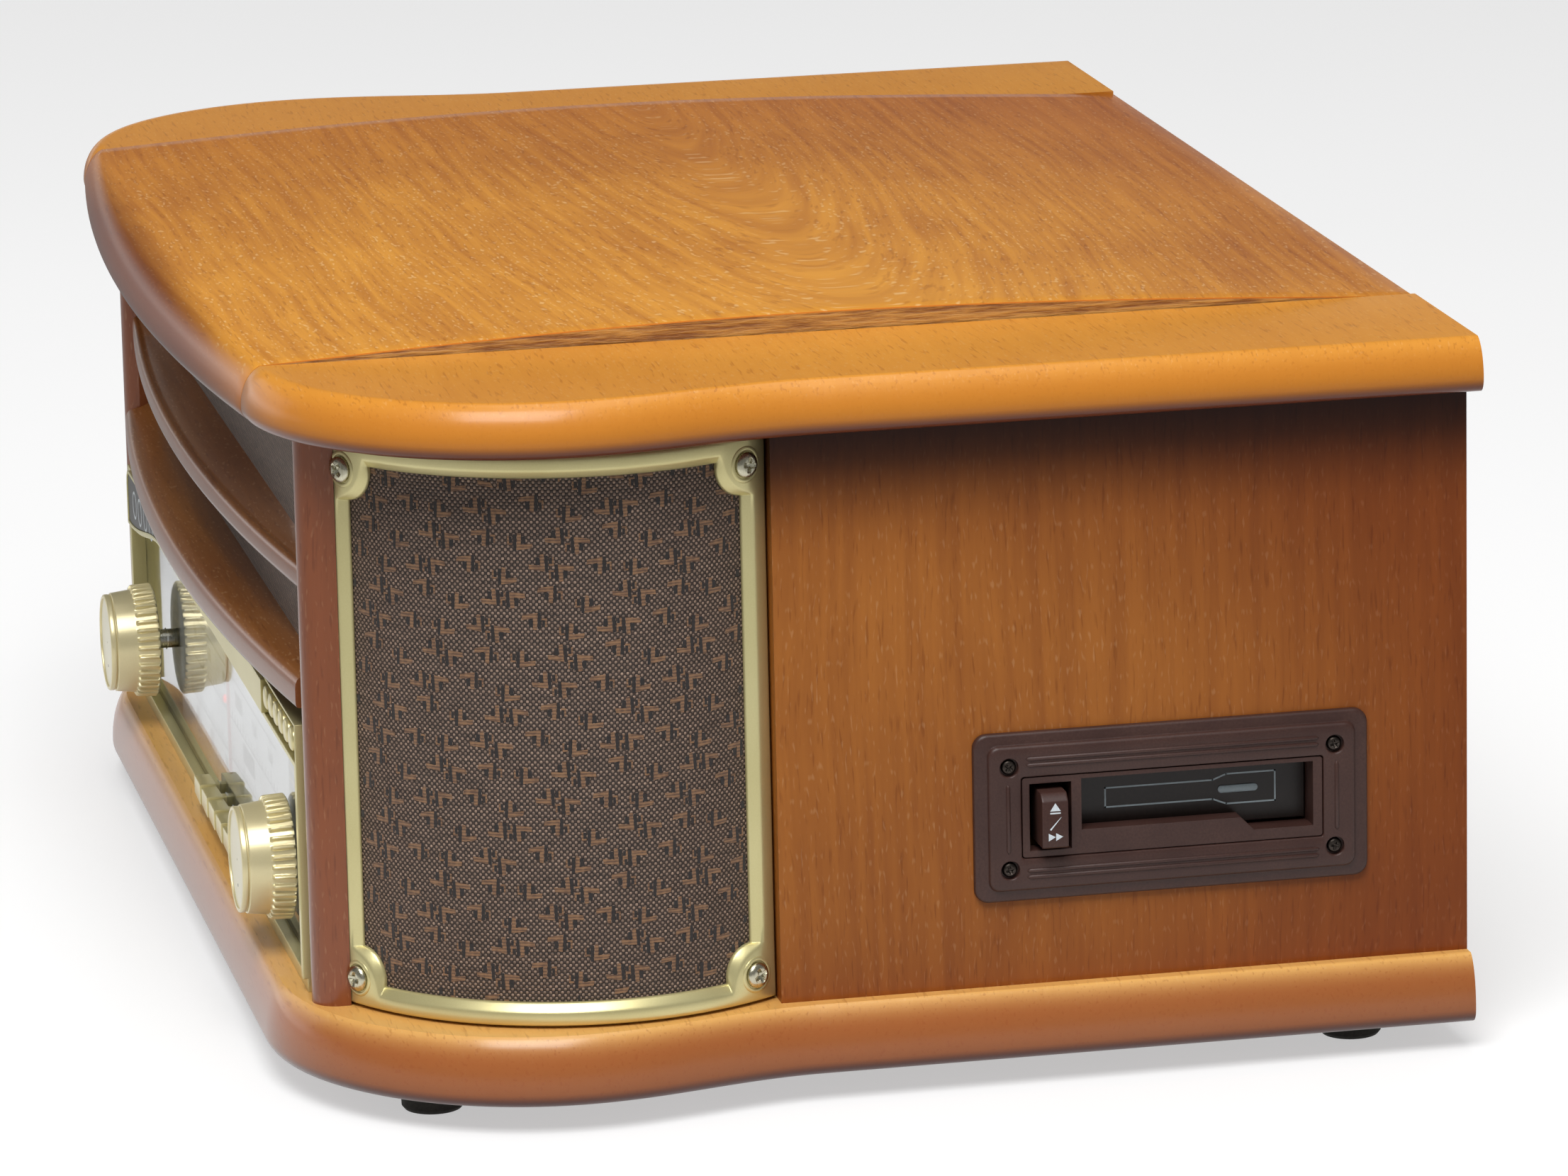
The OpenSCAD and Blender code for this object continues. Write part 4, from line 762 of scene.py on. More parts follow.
BASE_WOOD = StainedVeneer("base_beech_red_brown_lacquer", grain=Axis.X, light="#f2ba6a",
                          dark="#e0a456", nose="#a04d22", under="#55261a", contrast=0.15,
                          glint_flecks=0.1, roughness=0.34, specular=0.2, coat=0.6,
                          shades=(FRONT_SHADE,))
POST_WOOD = StainedVeneer("post_beech_red_brown_lacquer", grain=Axis.Z, light="#94522d",
                          dark="#7c4222", contrast=0.2, glint_flecks=0.1, coat=0.6, moulded=False)
SLAT_WOOD = StainedVeneer("slat_beech_brown_lacquer", grain=Axis.X, light="#a86c34",
                          dark="#7e4a24", nose="#8c5028", under="#472214", contrast=0.3,
                          glint_flecks=0.25, coat=0.4)
GOLD_PAINT = SprayedGold("abs_champagne_gold_paint", colour="#ddd49f", shade="#c8bd83")
GOLD_KNOB = SprayedGold("abs_champagne_gold_knob_paint", colour="#ece0b4", shade="#ddd09c",
                        metallic=0.4, roughness=0.3, edge_mm=0.15)
GOLD_KEY = SprayedGold("abs_champagne_gold_key_paint", colour="#e0d5a2", shade="#cdc088",
                       metallic=0.55, roughness=0.28, edge_mm=0.15)
KNOB_FACE = SprayedGold("abs_pale_gold_face_paint", colour="#e9e3c8", shade="#dcd5b4",
                        metallic=0.45, roughness=0.3, edge_mm=0.15)
MAROON = MouldedPlastic("abs_maroon_spark_textured")
FLAP_BLACK = MouldedPlastic("abs_black_satin", colour="#1a1310", lighter="#261c19",
                            roughness=0.32, texture_mm=1.2, relief_mm=0.01)
GLOSS_BLACK = MouldedPlastic("acrylic_black_satin", colour="#0a0a0b", lighter="#121214",
                             roughness=0.3, texture_mm=3.0, relief_mm=0.0, edge_mm=0.3,
                             specular=0.25)
DECK_BLACK = MouldedPlastic("abs_black_deck_textured", colour="#1d1b1a", lighter="#2c2927",
                            roughness=0.5, texture_mm=0.8)
RUBBER = MouldedPlastic("rubber_black_moulded", colour="#34332f", lighter="#4a4843",
                        roughness=0.78, texture_mm=1.0, relief_mm=0.05)
MAT_RUBBER = MouldedPlastic("rubber_platter_mat", colour="#171615", lighter="#232120",
                            roughness=0.7, texture_mm=0.7, relief_mm=0.05)
SPEAKER_CLOTH = WovenCloth("speaker_cloth_jacquard")
PANEL_CLOTH = WovenCloth("panel_cloth_plain_weave", warp="#463831", weft="#8d7868",
                         use_uv=False)
COPPER_YARN = MotifYarn("jacquard_yarn_copper", colour="#95704f", dark="#5f4433")
DARK_YARN = MotifYarn("jacquard_yarn_dark", colour="#241a17", dark="#15100e")
ZINC = WorkedMetal("steel_zinc_plated", colour="#d6d2bd", dull="#aba78e", roughness=0.26)
STEEL = WorkedMetal("steel_rolled", colour="#b4b4ae", dull="#8d8e89")
DARK_STEEL = WorkedMetal("steel_black_oxide", colour="#4f4843", dull="#342f2b", roughness=0.35)
ALUMINIUM = WorkedMetal("aluminium_die_cast", colour="#c3c1ba", dull="#9c9a94",
                        mark_mm=(3.0, 3.0, 0.5), roughness=0.36)
BRASS = WorkedMetal("brass_turned", colour="#cfa95c", dull="#a98440", mark_mm=(2.0, 2.0, 0.4))
RAW_BOARD = FibreBoard("fibreboard_raw")
ROUTED = RoutedEdge("lid_side_routed")
ACRYLIC = ClearAcrylic("acrylic_clear_polished")
BLACK_INK = PrintedInk("ink_black")
GOLD_INK = PrintedInk("ink_gold", colour="#b9a85f", metallic=0.4)
PALE_INK = PrintedInk("ink_pale_blue_grey", colour="#8f9ba0")
WHITE_INK = PrintedInk("ink_white", colour="#d4dde2")
SILVER_INK = PrintedInk("ink_silver", colour="#c9cfd2", metallic=0.3)
SILVER_PLATE = PrintedInk("dial_plate_silver_print", colour="#c9cacc", roughness=0.3)
RED_PLASTIC = MouldedPlastic("pointer_red_plastic", colour="#a82c1c", lighter="#c23a28",
                             roughness=0.3)
RED_LAMP = GlowingLens("lamp_red_epoxy")
SOLDER = SolderMask("circuit_board_solder_mask")


# Meshes, written in millimetres and made in metres


@dataclass
class MeshMaker:
    """Collects points and faces in millimetres and makes one object of them."""

    name: str
    points: list[Point3] = field(default_factory=list)
    faces: list[tuple[int, ...]] = field(default_factory=list)
    slots: list[int] = field(default_factory=list)

    def ring(self, points: Sequence[Point3]) -> list[int]:
        """Adds points and gives their numbers.

        Args:
            points: the points, going round.

        Returns:
            Their numbers.
        """
        first = len(self.points)
        self.points.extend(points)
        return list(range(first, first + len(points)))

    def face(self, corners: Sequence[int], slot: int = 0) -> None:
        """Adds one face with a material slot."""
        self.faces.append(tuple(corners))
        self.slots.append(slot)

    def loft(self, rings: Sequence[Sequence[Point3]], closed: bool = True, caps: bool = True,
             slot: int = 0, cap_slot: int | None = None) -> None:
        """Joins rings with equal numbers of points into a skin.

        Args:
            rings: the rings, in order.
            closed: whether the last point of a ring joins its first.
            caps: whether the first and last ring are filled.
            slot: material slot of the skin.
            cap_slot: material slot of the caps, the skin's where it is None.
        """
        rows = [self.ring(r) for r in rings]
        count = len(rows[0])
        last = count if closed else count - 1
        for low, high in zip(rows, rows[1:]):
            for j in range(last):
                k = (j + 1) % count
                self.face((low[j], low[k], high[k], high[j]), slot)
        if caps:
            end = slot if cap_slot is None else cap_slot
            self.face(list(reversed(rows[0])), end)
            self.face(rows[-1], end)

    def make(self, finishes: Sequence[Finish], smooth_deg: float = 35.0,
             bevel_mm: float = 0.0, bevel_deg: float = 50.0) -> bpy.types.Object:
        """Makes the object, smooth up to an angle, with its finishes.

        Args:
            finishes: one for each material slot.
            smooth_deg: edges that turn more than this stay sharp.
            bevel_mm: width of a real bevel, 0 for none.
            bevel_deg: edges that turn more than this get the bevel.

        Returns:
            The object, at the origin.
        """
        mesh = bpy.data.meshes.new(self.name)
        mesh.from_pydata([tuple(c * MM for c in p) for p in self.points], [], self.faces)
        for finish in finishes:
            mesh.materials.append(finish.material())
        mesh.polygons.foreach_set("material_index", self.slots)
        work = bmesh.new()
        work.from_mesh(mesh)
        bmesh.ops.remove_doubles(work, verts=work.verts, dist=1e-6)
        bmesh.ops.recalc_face_normals(work, faces=work.faces)
        if bevel_mm:
            limit = math.radians(bevel_deg)
            edges = [e for e in work.edges if len(e.link_faces) == 2
                     and e.calc_face_angle(0.0) > limit]
            bmesh.ops.bevel(work, geom=edges, offset=bevel_mm * MM, segments=2, profile=0.6,
                            affect="EDGES", clamp_overlap=True)
        work.to_mesh(mesh)
        work.free()
        mesh.shade_smooth()
        mesh.set_sharp_from_angle(angle=math.radians(smooth_deg))
        piece = bpy.data.objects.new(self.name, mesh)
        bpy.context.scene.collection.objects.link(piece)
        return piece


def box_into(maker: MeshMaker, low: Point3, high: Point3, slot: int = 0) -> None:
    """Adds a box to a mesh, as a loft between its bottom and top."""
    corners = [(low[0], low[1]), (high[0], low[1]), (high[0], high[1]), (low[0], high[1])]
    maker.loft([[(x, y, z) for x, y in corners] for z in (low[2], high[2])], slot=slot)


def cut_away(piece: bpy.types.Object, cutter: bpy.types.Object) -> None:
    """Takes one object's solid out of another for good, and deletes the cutter.

    Args:
        piece: the object that is cut.
        cutter: the object whose solid is taken out.
    """
    change = piece.modifiers.new("cut", "BOOLEAN")
    change.operation = "DIFFERENCE"
    change.solver = "EXACT"
    change.object = cutter
    bpy.context.view_layer.update()
    seen = bpy.context.evaluated_depsgraph_get()
    mesh = bpy.data.meshes.new_from_object(piece.evaluated_get(seen), depsgraph=seen)
    piece.modifiers.clear()
    piece.data = mesh
    mesh.shade_smooth()
    mesh.set_sharp_from_angle(angle=math.radians(35))
    bpy.data.objects.remove(cutter)


def place(piece: bpy.types.Object, body: str, slot: str, *replaced: str) -> bpy.types.Object:
    """Rides a finished piece on its body and hides what it stands for.

    Args:
        piece: the object.
        body: the body that moves it.
        slot: its slot in the record; not used.
        replaced: the CAD nodes that it stands for.

    Returns:
        The same object.
    """
    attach(piece, body)
    if replaced:
        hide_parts(*replaced)
    LOG.info("%s rides %s", piece.name, body)
    return piece


def dress(node: str, *finishes: Finish) -> None:
    """Gives a CAD node that stays as it is its finish.

    Args:
        node: the CAD node.
        finishes: one for each material slot.
    """
    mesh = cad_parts[node].data
    mesh.materials.clear()
    for finish in finishes:
        mesh.materials.append(finish.material())
    LOG.info("%s keeps its solid", node)


def turned(points: Sequence[Point3], matrix: Matrix) -> list[Point3]:
    """Moves points by a matrix."""
    return [tuple(matrix @ Vector(p)) for p in points]


def circle(r: float, steps: int) -> list[Point2]:
    """Points round a circle about zero."""
    return [(r * math.cos(math.tau * k / steps), r * math.sin(math.tau * k / steps))
            for k in range(steps)]


def edge_profile(thick: float, bulge: float) -> list[Point2]:
    """The bullnose of a moulded board, from its underside up.

    Args:
        thick: thickness of the board.
        bulge: how far the widest line stands past the top edge.

    Returns:
        Insets from the widest line, with heights above the underside.
    """
    # The underside's edge stays back, the widest line lies low, and the nose meets the top aslant
    inset, rise, end_deg = 3.2, 4.0, 74.0
    low = [(inset * (1 - math.sin(a)), rise * (1 - math.cos(a)))
           for a in (math.radians(90 * k / 7) for k in range(8))]
    full = math.radians(end_deg)
    high = [(bulge * (1 - math.cos(a)) / (1 - math.cos(full)),
             rise + (thick - rise) * math.sin(a) / math.sin(full))
            for a in (full * k / 12 for k in range(1, 13))]
    flat = [(bulge + 1.6, thick)]
    return [(inset + 1.6, 0.0)] + low + high + flat


@dataclass
class Outline:
    """Right half of a board's plan: elliptical corner, waist and straight side."""

    centre: Point2
    radii: Point2
    side_x: float
    rear_y: float
    start_deg: float
    waist: float = 68.0

    def points(self, inset: float) -> list[Point2]:
        """The outline from front to rear, shrunk by an inset.

        Args:
            inset: how far the outline shrinks, in millimetres.

        Returns:
            Points of the right half.
        """
        cx, cy = self.centre
        rx, ry = self.radii
        steps = 34
        corner = [(cx + (rx - inset) * math.cos(a), cy + (ry - inset) * math.sin(a))
                  for a in (math.radians(self.start_deg * (1 - k / steps))
                            for k in range(steps + 1))]
        drop = cx + rx - self.side_x
        waist = [(self.side_x - inset + drop * (1 + math.cos(math.pi * t)) / 2,
                  cy + self.waist * t) for t in (k / 26 for k in range(1, 27))]
        return corner + waist + [(self.side_x - inset, self.rear_y)]


@dataclass
class Cabinet:
    """Wooden boards, posts, slats and cloth panel of the cabinet."""

    foot: float = 8.0
    base_t: float = 19.3
    rail_z: float = 190.2
    rail_t: float = 15.0
    lid_z: float = 189.4
    arch: float = 6.4
    front: float = -173.0
    rear: float = 173.0
    bow: float = 10.2
    half: float = 174.0
    rail_bulge: float = 5.7
    base_bulge: float = 5.0
    post: Point2 = (190.0, -144.1)
    post_r: float = 7.0
    post_rear: float = -138.2
    # Middle of the speaker's curve, and its radius with a seat's gap
    speaker_axis: Point2 = (159.8, -72.1)
    speaker_r: float = 78.45
    bar_bow: float = 10.8
    bar_half: float = 183.0
    cloth_y: float = -144.4
    base_line: Outline = field(default_factory=lambda: Outline(
        (166.9, -83.0), (81.0, 78.5), 237.0, 172.0, -90.0))
    rail_line: Outline = field(default_factory=lambda: Outline(
        (172.6, -82.3), (78.3, 80.5), 241.5, 173.0, -82.5))

    def build(self) -> None:
        """Builds and dresses every piece of the cabinet."""
        self.base()
        for side, word in ((1, "right"), (-1, "left")):
            self.rail(side, word)
            self.corner_post(side, word)
            dress(f"side_wall_{word}", WALL_VENEER)
        self.lid()
        low_edge = [(1.5, 0.0), (0.7, 0.1), (0.3, 0.35), (0.05, 0.9), (0.0, 1.7)]
        self.slat("upper_bar", -159.2, 142.2,
                  low_edge + [(0.0, 4.0), (0.12, 5.0), (0.45, 5.8), (1.0, 6.3), (1.7, 6.5),
                              (2.4, 6.45), (2.9, 6.4), (3.5, 6.7), (4.6, 7.3), (6.2, 7.9)], 10.2)
        self.slat("lower_bar", -162.6, 109.8,
                  low_edge + [(0.0, 5.6), (0.15, 6.9), (0.5, 7.8), (1.1, 8.5), (2.0, 8.95),
                              (3.2, 9.2), (4.8, 9.45)], 10.6)
        dress("grille_panel", PANEL_CLOTH)
        dress("back_panel", RAW_BOARD)
        dress("rubber_feet", RUBBER)

    def base(self) -> None:
        """The base board, its moulded edge all round but the rear."""
        maker = MeshMaker("base_board_moulded")
        rings = []
        for inset, z in edge_profile(self.base_t, self.base_bulge):
            half = self.base_line.points(inset)
            ring = half + [(-x, y) for x, y in reversed(half)]
            rings.append([(x, y, self.foot + z) for x, y in ring])
        maker.loft(rings)
        place(maker.make([BASE_WOOD], bevel_mm=0.5, bevel_deg=60), "cabinet", "red_wood",
              "base_board")

    def rail(self, side: int, word: str) -> None:
        """One top rail, from the lid out to its moulded edge.

        Args:
            side: 1 for the right, -1 for the left.
            word: the side in words.
        """
        maker = MeshMaker(f"top_rail_{word}_moulded")
        rings = []
        for inset, z in edge_profile(self.rail_t, self.rail_bulge):
            line = [(self.half, self.front + self.bow + inset)]
            line += self.rail_line.points(inset)
            line += [(self.half, self.rear)]
            rings.append([(side * x, y, self.rail_z + z) for x, y in line])
        maker.loft(rings)
        place(maker.make([RAIL_WOOD], bevel_mm=0.5, bevel_deg=60), "cabinet", "honey_wood",
              f"top_rail_{word}")

    def rise(self, y: float) -> float:
        """Height of the lid's arch at a depth."""
        return self.arch * max(0.0, math.sin(math.pi * (y - self.front) / (self.rear - self.front)))

    def lid(self) -> None:
        """The arched lid, with its bowed and rounded front edge."""
        maker = MeshMaker("lid_arched")
        half = self.half - 0.5
        edge = edge_profile(self.rail_t, self.rail_bulge)[1:-1]
        rings = []
        for k in range(49):
            x = -half + 2 * half * k / 48
            y0 = self.front + self.bow * (x / self.half) ** 2
            reach = self.rear - y0
            under = [(y0 + 3.2 + (reach - 3.2) * t / 40, 0.0) for t in range(1, 41)]
            bulge = self.rail_bulge
            over = [(y0 + bulge + (reach - bulge) * t / 40, self.rail_t)
                    for t in range(40, 0, -1)]
            nose = [(y0 + i, z) for i, z in reversed(edge)]
            rings.append([(x, y, self.lid_z + z + self.rise(y)) for y, z in under + over + nose])
        maker.loft(rings, cap_slot=1)
        place(maker.make([LID_VENEER, ROUTED], bevel_mm=0.5, bevel_deg=60), "lid_group",
              "honey_wood", "lid")

    def corner_post(self, side: int, word: str) -> None:
        """A half-round post between base and rail, its back cut to the speaker's curve.

        Args:
            side: 1 for the right, -1 for the left.
            word: the side in words.
        """
        maker = MeshMaker(f"corner_post_{word}_turned")
        cx, cy = self.post
        front = [(cx + self.post_r * math.cos(a), cy + self.post_r * math.sin(a))
                 for a in (math.radians(180 + 180 * k / 28) for k in range(29))]
        ax, ay = self.speaker_axis
        back = []
        for k in range(9):
            x = cx + self.post_r - 2 * self.post_r * k / 8
            curve_y = ay - math.sqrt(self.speaker_r ** 2 - (x - ax) ** 2)
            back.append((x, min(self.post_rear, curve_y)))
        outline = [(side * x, y) for x, y in front + back]
        foot = self.foot + self.base_t
        maker.loft([[(x, y, z) for x, y in outline] for z in (foot, 70.0, 110.0, 150.0,
                                                              self.rail_z)])
        place(maker.make([POST_WOOD], smooth_deg=40), "cabinet", "red_wood",
              f"corner_post_{word}")

    def slat(self, node: str, y_front: float, z_low: float, nose: Sequence[Point2],
             rear: float) -> None:
        """A bowed slat: a round nose, then a top that rises to the cloth.

        Args:
            node: the CAD node that it stands for.
            y_front: front of its middle.
            z_low: its underside.
            nose: insets from the front with heights, from the underside up.
            rear: its height where it meets the cloth.
        """
        maker = MeshMaker(f"{node}_moulded")
        rings = []
        for k in range(41):
            x = -self.bar_half + 2 * self.bar_half * k / 40
            y0 = y_front + self.bar_bow * (x / self.bar_half) ** 2
            reach = self.cloth_y - y0 - 0.3
            fit = min(1.0, reach / nose[-1][0])
            section = [(y0 + i * fit, z) for i, z in reversed(nose)]
            section = [(self.cloth_y, 0.0), (self.cloth_y, rear)] + section
            rings.append([(x, y, z_low + z) for y, z in section])
        maker.loft(rings)
        place(maker.make([SLAT_WOOD], smooth_deg=50), "cabinet", "red_wood", node)


@dataclass
class SpeakerCorner:
    """Cloth, gold frame and screws round one front corner, and the driver behind them."""

    side: int
    word: str
    axis: Point2 = (159.8, -72.1)
    mid_deg: float = -14.3
    span_deg: float = 101.6
    radius: float = 78.25
    thick: float = 3.0
    low: float = 28.0
    high: float = 188.3
    bar_w: float = 7.8
    bar_h: float = 6.4
    lobe: float = 8.9
    screw_in: float = 7.8

    def wrap(self, arc: float, z: float, r: float) -> Point3:
        """A point at an arc length from the middle, a height and a radius, on this corner.

        Args:
            arc: length along the curve from its middle.
            z: height.
            r: radius.

        Returns:
            The point, in millimetres.
        """
        a = math.radians(self.mid_deg) + arc / self.radius
        x = self.axis[0] + r * math.cos(a)
        y = self.axis[1] + r * math.sin(a)
        return (self.side * x, y, z)

    @property
    def half_arc(self) -> float:
        """Half the frame's length along its curve."""
        return self.radius * math.radians(self.span_deg) / 2

    def build(self) -> None:
        """Builds the corner; its cloth is one sheet held stretched in the frame."""
        self.gold_frame()
        cloth, figures = self.cloth(), self.motifs()
        self.screws()
        dress(f"loudspeaker_{self.word}", DECK_BLACK)
        dress(f"speaker_baffle_{self.word}", RAW_BOARD)

    def opening(self) -> list[tuple[Point2, Point2]]:
        """Points round the frame's opening, each with its partner on the outer edge.

        Returns:
            Pairs of (arc, height) points, going round once.
        """
        s, mid = self.half_arc, (self.low + self.high) / 2
        h = (self.high - self.low) / 2
        sx, sz = s - self.screw_in, h - self.screw_in
        wall_x, wall_z = s - self.bar_w, h - self.bar_h
        # Where the round lobe meets the straight bars
        meet_x = math.sqrt(self.lobe ** 2 - (wall_x - sx) ** 2)
        meet_z = math.sqrt(self.lobe ** 2 - (wall_z - sz) ** 2)
        a0 = math.atan2(-meet_x, wall_x - sx)
        a1 = math.atan2(wall_z - sz, -meet_z)
        if a1 > a0:
            a1 -= math.tau
        pairs: list[tuple[Point2, Point2]] = []

        def quarter(fx: int, fz: int, reverse: bool) -> None:
            """Adds one corner, mirrored by the signs.

            Args:
                fx: sign along the curve.
                fz: sign up the frame.
                reverse: whether its points go the other way round.
            """
            part: list[tuple[Point2, Point2]] = []
            z_end = sz - meet_x
            for k in range(13):
                z = z_end * k / 12
                part.append(((wall_x, z), (s, z)))
            x_end = sx - meet_z
            count = 18
            out_len = (h - z_end) + (s - x_end)
            for k in range(1, count):
                t = k / count
                a = a0 + (a1 - a0) * t
                inner = (sx + self.lobe * math.cos(a), sz + self.lobe * math.sin(a))
                d = out_len * t
                outer = (s, z_end + d) if d < h - z_end else (s - (d - (h - z_end)), h)
                part.append((inner, outer))
            for k in range(13):
                x = x_end * (1 - k / 12)
                part.append(((x, wall_z), (x, h)))
            part = [((fx * i[0], mid + fz * i[1]), (fx * o[0], mid + fz * o[1]))
                    for i, o in part]
            pairs.extend(reversed(part) if reverse else part)

        quarter(1, 1, False)
        quarter(-1, 1, True)
        quarter(-1, -1, False)
        quarter(1, -1, True)
        return pairs

    def gold_frame(self) -> None:
        """The pressed frame: a flat face, a slope down to the cloth and a rolled outer edge."""
        maker = MeshMaker(f"speaker_frame_{self.word}_pressed")
        back = self.radius - self.thick
        face = self.radius
        # Share of the way out, plus millimetres, and the radius there
        section = [(0.0, 0.0, back), (0.0, 0.0, back + 0.8), (0.0, 0.35, back + 1.25),
                   (0.0, 1.9, face - 0.55), (0.0, 2.3, face - 0.2), (0.0, 2.8, face),
                   (1.0, -1.3, face), (1.0, -0.7, face - 0.12), (1.0, -0.25, face - 0.45),
                   (1.0, 0.0, face - 1.0), (1.0, 0.0, back)]
        rings = []
        for inner, outer in self.opening():
            dx, dz = outer[0] - inner[0], outer[1] - inner[1]
            reach = math.hypot(dx, dz)
            ring = []
            for share, extra, r in section:
                t = share + extra / reach
                ring.append(self.wrap(inner[0] + dx * t, inner[1] + dz * t, r))
            rings.append(ring)
        rings.append(rings[0])
        maker.loft(rings, caps=False)
        piece = maker.make([GOLD_PAINT], smooth_deg=38)
        place(piece, "cabinet", "gold_paint", f"speaker_frame_{self.word}")
        bosses = MeshMaker(f"speaker_frame_bosses_{self.word}")
        for arc, z in self.screw_places():
            profile = [(3.95, -0.3), (3.95, 0.12), (4.25, 0.3), (4.7, 0.3), (5.1, 0.1), (5.3, -0.3)]
            rings = []
            for k in range(33):
                a = math.tau * k / 32
                rings.append([self.wrap(arc + r * math.cos(a), z + r * math.sin(a),
                                        self.radius + d) for r, d in profile])
            bosses.loft(rings, closed=False, caps=False)
        place(bosses.make([GOLD_PAINT]), "cabinet", "gold_paint")

    def screw_places(self) -> list[Point2]:
        """Arc and height of the four screws.

        Returns:
            Pairs of arc and height.
        """
        s = self.half_arc - self.screw_in
        return [(a, z) for a in (-s, s) for z in (self.low + self.screw_in,
                                                  self.high - self.screw_in)]

    def cloth(self) -> bpy.types.Object:
        """The curved cloth, a skin with its own map in millimetres.

        Returns:
            The cloth.
        """
        s = self.radius * math.radians(self.span_deg - 2) / 2
        front, back = self.radius - self.thick - 0.2, self.radius - self.thick - 1.7
        maker = MeshMaker(f"speaker_cloth_{self.word}_jacquard")
        arcs = [-s + 2 * s * k / 48 for k in range(49)]
        heights = [self.low + 0.5 + (self.high + 0.5 - self.low) * k / 12 for k in range(13)]
        rings = []
        for z in heights:
            outer = [self.wrap(a, z, front) for a in arcs]
            inner = [self.wrap(a, z, back) for a in reversed(arcs)]
            rings.append(outer + inner)
        maker.loft(rings)
        piece = maker.make([SPEAKER_CLOTH], smooth_deg=40)
        mesh = piece.data
        layer = mesh.uv_layers.new(name="cloth")
        for loop in mesh.loops:
            x, y, z = (c / MM for c in mesh.vertices[loop.vertex_index].co)
            a = math.atan2(y - self.axis[1], self.side * x - self.axis[0])
            layer.data[loop.index].uv = (self.radius * a, z)
        return place(piece, "cabinet", "cloth", f"speaker_cloth_{self.word}")

    def motifs(self) -> bpy.types.Object:
        """Small hooked figures woven proud of the cloth, copper with dark yarn beside each.

        Returns:
            The figures, as one object.
        """
        # Each figure is a leaning flag on a stem, 4.6 mm wide and 4.8 mm high
        copper = [((0.0, 4.8), (4.4, 4.2), (4.6, 2.9), (0.9, 3.3)),
                  ((0.0, 4.8), (1.2, 4.6), (1.4, 0.2), (0.3, 0.0)),
                  ((-2.6, 3.3), (-1.2, 3.3), (-1.2, 2.8), (-2.6, 2.8)),
                  ((-2.6, 3.3), (-2.1, 3.3), (-2.1, 0.9), (-2.6, 0.9))]
        dark = [((-0.9, 4.9), (-0.1, 4.9), (0.1, 0.4), (-0.9, 0.4)),
                ((1.5, 3.0), (2.7, 2.9), (2.5, 0.9), (1.5, 1.0)),
                ((-2.0, 2.7), (-1.3, 2.7), (-1.3, 1.0), (-2.0, 1.0))]
        s = self.half_arc - self.bar_w + 1
        pitch_x, pitch_z = 9.4, 8.2
        maker = MeshMaker(f"speaker_cloth_figures_{self.word}")
        r = self.radius - self.thick - 0.2
        rows = int((self.high - self.low) / pitch_z) + 1
        columns = int(2 * s / pitch_x) + 1
        for row in range(rows):
            for column in range(columns):
                kind = (row * 7 + column * 5) % 4
                arc = -s + (column + (0.5 if row % 2 else 0.0) + 0.13 * (kind - 1.5)) * pitch_x
                z = self.low + 5 + row * pitch_z + (kind % 2) * 2.3 - 0.7 * (column % 3)
                flip_x, flip_z = (1, -1)[kind % 2], (1, -1)[kind // 2]
                for slot, shapes, lift in ((0, copper, 0.12), (1, dark, 0.08)):
                    for shape in shapes:
                        corner = [(arc + flip_x * (a - 1.0), z + flip_z * (h - 2.4))
                                  for a, h in shape]
                        inside = all(abs(a) < s - 1 and self.low + 6 < h < self.high - 5
                                     for a, h in corner)
                        if not inside:
                            continue
                        low_ring = [self.wrap(a, h, r - 0.05) for a, h in corner]
                        high_ring = [self.wrap(a, h, r + lift) for a, h in corner]
                        maker.loft([low_ring, high_ring], slot=slot)
        piece = maker.make([COPPER_YARN, DARK_YARN], smooth_deg=20)
        return place(piece, "cabinet", "cloth")

    def screws(self) -> None:
        """Pan-head screws with a cross recess, in the frame's corners."""
        maker = MeshMaker(f"speaker_screw_heads_{self.word}")
        for arc, z in self.screw_places():
            base = Vector(self.wrap(arc, z, self.radius - 0.2))
            tip = Vector(self.wrap(arc, z, self.radius + 1))
            out = (tip - base).normalized()
            up = Vector((0, 0, 1))
            along = up.cross(out).normalized()
            frame_of = Matrix((along, up, out)).transposed().to_4x4()
            frame_of.translation = base
            pan_head(maker, frame_of, 3.7, 2.0, 18 + arc + z)
        piece = maker.make([ZINC], smooth_deg=45)
        nodes = ("speaker_frame_screws",) if self.side > 0 else ()
        place(piece, "cabinet", "steel", *nodes)


def pan_head(maker: MeshMaker, frame_of: Matrix, r: float, height: float, turn: float) -> None:
    """Adds a pan head with a cross recess, as a fan of rings whose middle dips at the cross.

    Args:
        maker: the mesh that it goes into.
        frame_of: places the head, with Z out of the surface.
        r: radius of the head.
        height: height of the head.
        turn: how the cross is turned, in degrees.
    """
    steps, phase = 64, math.radians(turn)
    levels = [(1.0, 0.0), (1.0, 0.3), (0.97, 0.5), (0.88, 0.72), (0.74, 0.88), (0.6, 0.97),
              (0.52, 0.99), (0.5, 0.99), (0.4, 1.0), (0.3, 1.0), (0.2, 1.0), (0.1, 1.0)]
    rings = []
    for share, level in levels:
        ring = []
        for k in range(steps):
            a = math.tau * k / steps
            rho = share * r
            x, y = rho * math.cos(a), rho * math.sin(a)
            u = abs(x * math.cos(phase) + y * math.sin(phase))
            v = abs(-x * math.sin(phase) + y * math.cos(phase))
            near, far = min(u, v), max(u, v)
            deep = 0.0
            if near < 0.16 * r and far < 0.56 * r:
                deep = 0.55 * (1 - far / (0.62 * r)) + 0.12
            ring.append((x, y, height * (level - deep)))
        rings.append(turned(ring, frame_of))
    maker.loft(rings)


